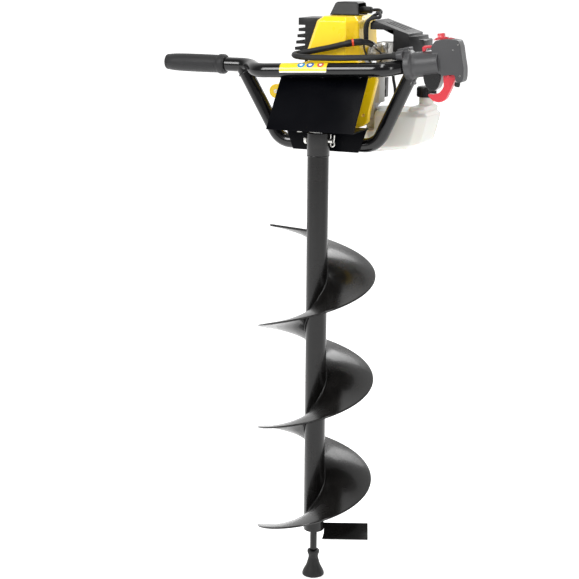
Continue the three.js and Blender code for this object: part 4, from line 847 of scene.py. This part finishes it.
def alongHandle(x, y=0.0, z=0.0):
    return handleMatrix @ Matrix.Translation(Vector((x, y, z)) * mm) @ Matrix.Rotation(
        math.radians(90), 4, "Y")


def makeThrottleHousing():
    bm = bmesh.new()
    flange, end = grip["flange"], grip["flangeEnd"]
    turnedMesh(bm, [(12.3, 0), (24, 0), (25, 1.5), (25, 11), (23.4, 13), (21, 15), (20.3, 20),
                    (20, 58), (12.3, 58)], 64, alongHandle(flange), closed=True)
    prismMesh(bm, rounded([(flange, -32), (end - 2, -32), (end - 2, 30), (flange, 30)], 2), -9, 9,
              handleMatrix)
    prismMesh(bm, rounded([(flange - 11, 14.5), (flange + 2, 14.5), (flange + 2, 29),
                           (flange - 11, 29)], 1.6), -9, 8, handleMatrix)
    start, stop = grip["barrelEnd"] - 2, grip["headEnd"]
    head = [(start - 8, 14), (start - 8, -8), (start, -16), (start + 6, -21), (stop - 15, -21),
            (stop - 14, -33), (stop - 4, -35), (stop - 1, -28), (stop + 1, -12), (stop, 2),
            (stop - 1, 24), (stop - 4, 33), (start + 20, 37), (start, 36), (start - 8, 27)]
    prismMesh(bm, rounded(head, 3), -grip["headHalf"], grip["headHalf"], handleMatrix)
    turnedMesh(bm, [(0, 0), (7.2, 0), (8, 1), (8, 12), (0, 12)], 32, alongHandle(20, -17, 18))
    moulded("throttleShells", bm, "grey_plastic", 0.85, 4, "frame", "throttle_housing_front",
            "throttle_housing_back")
    pod = [(start - 27, -14), (start - 26, -30), (start - 21, -41), (start - 12, -45),
           (start - 4, -41), (start + 2, -29), (start + 3, -14)]
    bm = bmesh.new()
    prismMesh(bm, rounded(pod, 6, 6), -grip["pod"], grip["pod"], handleMatrix)
    piece = moulded("throttlePod", bm, "grey_plastic", 0.8, 5, "frame")
    piece.data.materials.clear()
    piece.data.materials.append(glossBlack)
    towards = handleMatrix.to_3x3() @ Vector((0, -1, 0))
    places = [(113.9, -12.6, 18.5), (123.4, -12.6, 26), (121.5, -12.6, -23.7), (38.4, -8.6, 25),
              (25.5, -8.6, 22.5), (37, -8.6, -28)]
    scattered("throttleScrews", [((handleMatrix @ (Vector(p) * mm)) / mm, towards) for p in places],
              "zinc_steel", "frame", 0.85)


pivot = {"x": 101, "z": -22}
switchRails = ((-8.5, -5.6), (5.6, 8.5))


def makeTrigger():
    bm = bmesh.new()
    x, z = pivot["x"], pivot["z"]
    outline = [(-9, 4), (14, 3), (13, -4), (9, -9), (-1, -26), (-8, -37), (-15, -41), (-22, -41.5),
               (-31, -38), (-38, -29), (-37, -26), (-29, -27.5), (-19, -26.4), (-13, -21), (-10, -16)]
    prismMesh(bm, rounded([(x + u, z + v) for u, v in outline], 2.4, 5), -6, 6, handleMatrix)
    turnedMesh(bm, [(0, -9.6), (3, -9.6), (3, 9.6), (0, 9.6)], 24, handleMatrix
               @ Matrix.Translation(Vector((x, 0, z)) * mm) @ Matrix.Rotation(math.radians(90), 4, "X"))
    moulded("triggerBlade", bm, "red_plastic", 0.55, 3, "trigger", "throttle_trigger")
    bevelled("lockPaddle", "lock_lever", 0.8, 3)
    bevelled("stopSlider", "stop_switch", 0.7, 3)
    bm = bmesh.new()
    rail = rounded([(82, 36.6), (106, 36.6), (113, 35), (113, 36), (106.5, 38), (82, 38)], 0.5)
    for low, high in switchRails:
        prismMesh(bm, rail, low, high, handleMatrix)
    base = newObject("switchBase", meshOf(bm, "switchBase"), finishes["red_plastic"])
    settle(base, "frame", "red_plastic")
    bm = bmesh.new()
    turnedMesh(bm, [(0, 0), (4.6, 0), (4.6, 5), (3.6, 7), (0, 7.6)], 32,
               handleMatrix @ Matrix.Translation(Vector((116, -9, -34)) * mm)
               @ Matrix.Rotation(math.radians(196), 4, "Y"))
    nub = newObject("triggerStop", meshOf(bm, "triggerStop"), finishes["black_plastic"])
    smoothMesh(nub.data, 40)
    settle(nub, "frame", "black_plastic")


makeThrottleHousing()
makeTrigger()
report("throttle grip")

# ---- throttle cable: ribbed conduit, sleeve, tie and ferrule
conduitRoute = [
    (121, 28, 918.3), (111, 25, 917.6), (92, 15, 916), (50, 10, 914), (10, 10, 912.5),
    (-24, 12, 912), (-48, 20, 912.5), (-58, 32, 914), (-52, 43, 916), (-32, 48, 920), (-4, 50, 926),
    (20, 52, 932), (40, 56, 936), (54, 70, 936), (60, 84, 932), (61, 94, 928)]
sleeve = {"from": 26, "to": 50, "tieFrom": 35, "tieTo": 39.5, "above": 924}


def makeConduit():
    route = flowing(conduitRoute, 14)
    pathPiece("conduit", route, 4.9, "rubber", "frame", ["throttle_cable"], sides=22, spacing=1.3,
              ripple=0.13)
    upper = [p for p in route if p.z > sleeve["above"]]
    pathPiece("conduitSleeve", [p for p in upper if sleeve["from"] < p.x < sleeve["to"] and p.y < 66],
              5.9, "black_plastic", "frame", sides=24, spacing=1.5)
    tie = pathPiece("conduitTie", [p for p in upper if sleeve["tieFrom"] < p.x < sleeve["tieTo"]], 6.7,
                    "red_plastic", "frame", sides=24, spacing=0.8)
    tie.data.materials.clear()
    tie.data.materials.append(tieOrange)
    pathPiece("conduitFerrule", route[-16:], 5.6, "zinc_steel", "frame", sides=20, spacing=1.2)
    gland = flowing([(128, 28.4, 918.9), (123, 28.2, 918.5), (117, 27, 918.2)], 6)
    pathPiece("conduitGland", gland, 6.4, "rubber", "frame", sides=24, spacing=1.6, ripple=0.08)


# the plug's lead and the switch wires run from the shroud's top down to the carburettor side
wires = {
    "plugLead": (2.9, [(60, 108, 983), (68, 100, 981), (70, 92, 976), (62, 86, 975), (52, 84, 970),
                       (48, 84, 958), (48, 86, 940)]),
    "switchWire": (1.5, [(47, 80, 940), (50, 76, 925), (56, 74, 912), (62, 76, 902), (60, 80, 894)]),
    "coilWire": (1.4, [(60, 94, 926), (68, 92, 922), (74, 96, 914), (72, 100, 904), (64, 98, 898)]),
}


def makeWires():
    for name, (radius, places) in wires.items():
        pathPiece(name, flowing(places, 10), radius, "rubber", "frame", sides=14, spacing=1.6)


makeWires()
makeConduit()
report("throttle cable")

# ---- engine covers

# piece, the node it replaces, edge width in mm and segments round the edge
castings = (
    ("filterCover", "air_filter_cover", 1.4, 3),
    ("mufflerCage", "muffler_guard", 0.6, 2),
    ("mufflerBox", "muffler", 3.0, 3),
    ("carburettorBody", "carburettor", 0.8, 2),
    ("carbLever", "carb_throttle_lever", 0.5, 2),
    ("crankcaseCasting", "crankcase", 1.2, 2),
    ("transferCasting", "transfer_case", 1.0, 2),
    ("transferLid", "transfer_cover", 0.5, 2),
    ("gearboxCasting", "gearbox_housing", 1.2, 2),
    ("gearboxFloor", "gearbox_bottom_cover", 0.6, 2),
)


def makeEngineCovers():
    moulded("shroud", mergedCopy("engine_shroud"), "yellow_plastic", 1.0, 6, "frame", "engine_shroud")
    moulded("fanCover", mergedCopy("fan_housing"), "yellow_plastic", 1.0, 4, "frame", "fan_housing")
    moulded("headCover", mergedCopy("top_cover"), "black_plastic", 0.7, 5, "frame", "top_cover")
    moulded("sparkBoot", mergedCopy("plug_boot"), "rubber", 0.6, 8, "frame", "plug_boot")
    for name, nodeName, width, segments in castings:
        bevelled(name, nodeName, width, segments)
    places = [((70, 54.0, 882), (0, -1, 0)), ((-47, 54.0, 807), (0, -1, 0)),
              ((-102, 54.0, 849), (0, -1, 0))]
    scattered("fanCoverScrews", places, "zinc_steel", "frame", 1.2)


tankCap = {"x": 137.5, "y": 150.0, "ribs": 24}


def makeTank():
    moulded("tankShell", mergedCopy("fuel_tank"), "tank_plastic", 1.0, 16, "frame", "fuel_tank")
    capPlace = Matrix.Translation(
        Vector((tankCap["x"], tankCap["y"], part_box("fuel_cap")[0].z / mm)) * mm)
    bm = bmesh.new()
    turnedMesh(bm, [(13, 0), (15.6, 0), (16, 0.6), (16, 15.6), (15.2, 17.4), (13.6, 18), (0, 18),
                    (0, 10.5), (13, 10.5)], 64, capPlace, closed=False)
    for k in range(tankCap["ribs"]):
        a = 360 * k / tankCap["ribs"]
        boxMesh(bm, (15.6, -0.9, 1.5), (17, 0.9, 15.5),
                capPlace @ Matrix.Rotation(math.radians(a), 4, "Z"))
    cap = newObject("tankCap", meshOf(bm, "tankCap"), finishes["black_plastic"])
    smoothMesh(cap.data, 30)
    settle(cap, "cap", "black_plastic", "fuel_cap")
    route = flowing([(82, 148, 821.4), (82, 148, 835), (83, 142, 855), (84, 130, 872), (84, 128, 886),
                     (84, 128, 897.5)])
    pathPiece("fuelHose", route, 2.6, "rubber", "frame", ["fuel_line"], sides=16, spacing=2)


starterCase = {"height": 850.0, "ribs": 16, "firstRib": 11.0}


def makeStarter():
    low, high = (c.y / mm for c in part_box("starter_housing"))
    depth = high - low
    place = yTurn(0, low, starterCase["height"])
    bm = bmesh.new()
    turnedMesh(bm, [(50, 0), (50, depth - 5), (48, depth - 1.4), (45, depth), (14, depth),
                    (12, depth - 1.6), (0, depth - 1.6), (0, depth - 4), (46.8, depth - 4),
                    (46.8, 0)], 72, place, closed=False)
    for k in range(starterCase["ribs"]):
        a = 360 * k / starterCase["ribs"] + starterCase["firstRib"]
        boxMesh(bm, (17, -1.1, depth - 1), (42, 1.1, depth),
                place @ Matrix.Rotation(math.radians(a), 4, "Z"))
    cover = newObject("starterCover", meshOf(bm, "starterCover"), finishes["black_plastic"])
    smoothMesh(cover.data, 35)
    settle(cover, "frame", "black_plastic", "starter_housing")
    bevelled("starterPull", "starter_handle", 1.6, 3)


makeEngineCovers()
makeTank()
makeStarter()
report("engine")

# ---- floor and lights


studio = {"half": 14.0, "front": 0.3, "behind": 1.0, "strength": 1.08, "floorGlow": 0.62}
lamps = {
    "keyLight": ((-1.3, -2.6, 2.4), (0, 0, 0.8), (0.9, 1.6), 64),
    "fillLight": ((2.6, -1.6, 1.7), (0, 0, 0.8), (0.5, 1.8), 20),
    "topStrip": ((0.3, -0.9, 3.0), (0, 0, 0.9), (0.28, 2.4), 26),
    "rimLight": ((0.6, 2.2, 2.4), (0, 0, 0.8), (1.2, 1.2), 30),
}


def makeWorld():
    # white behind the machine and grey in front, so that dark paint stays dark
    world = bpy.data.worlds.new("studio")
    bpy.context.scene.world = world
    world.use_nodes = True
    tree = world.node_tree
    direction = addNode(tree, "ShaderNodeTexCoord").outputs["Generated"]
    a = math.radians(view["azimuth"])
    away = addNode(tree, "ShaderNodeVectorMath", {0: direction, 1: (-math.sin(a), math.cos(a), 0.0)},
                   operation="DOT_PRODUCT").outputs["Value"]
    level = addNode(tree, "ShaderNodeMapRange", {"Value": away, "From Min": -0.1, "From Max": 0.55,
                    "To Min": studio["front"], "To Max": studio["behind"]},
                    interpolation_type="SMOOTHSTEP").outputs["Result"]
    back = tree.nodes["Background"]
    back.inputs["Color"].default_value = (1, 1, 1, 1)
    strength = addNode(tree, "ShaderNodeMath", {0: level, 1: studio["strength"]},
                       operation="MULTIPLY").outputs[0]
    tree.links.new(strength, back.inputs["Strength"])


def makeStudio():
    mesh = bpy.data.meshes.new("floor")
    half = studio["half"]
    mesh.from_pydata([(-half, -half, 0), (half, -half, 0), (half, half, 0), (-half, half, 0)], [],
                     [(0, 1, 2, 3)])
    pale = bpy.data.materials.new("paleFloor")
    pale.use_nodes = True
    shader = pale.node_tree.nodes["Principled BSDF"]
    shader.inputs["Base Color"].default_value = (0.93, 0.93, 0.93, 1)
    shader.inputs["Roughness"].default_value = 0.9
    shader.inputs["Specular IOR Level"].default_value = 0.1
    shader.inputs["Emission Color"].default_value = (1, 1, 1, 1)
    shader.inputs["Emission Strength"].default_value = studio["floorGlow"]
    floor = newObject("floor", mesh, pale)
    makeWorld()
    for name, (place, aim, size, power) in lamps.items():
        lamp = bpy.data.lights.new(name, "AREA")
        lamp.shape = "RECTANGLE"
        lamp.size, lamp.size_y = size
        lamp.energy = power
        light = bpy.data.objects.new(name, lamp)
        light.location = place
        aimed = Vector(aim) - Vector(place)
        light.rotation_euler = aimed.to_track_quat("-Z", "Y").to_euler()
        bpy.context.scene.collection.objects.link(light)


makeStudio()
report("studio")
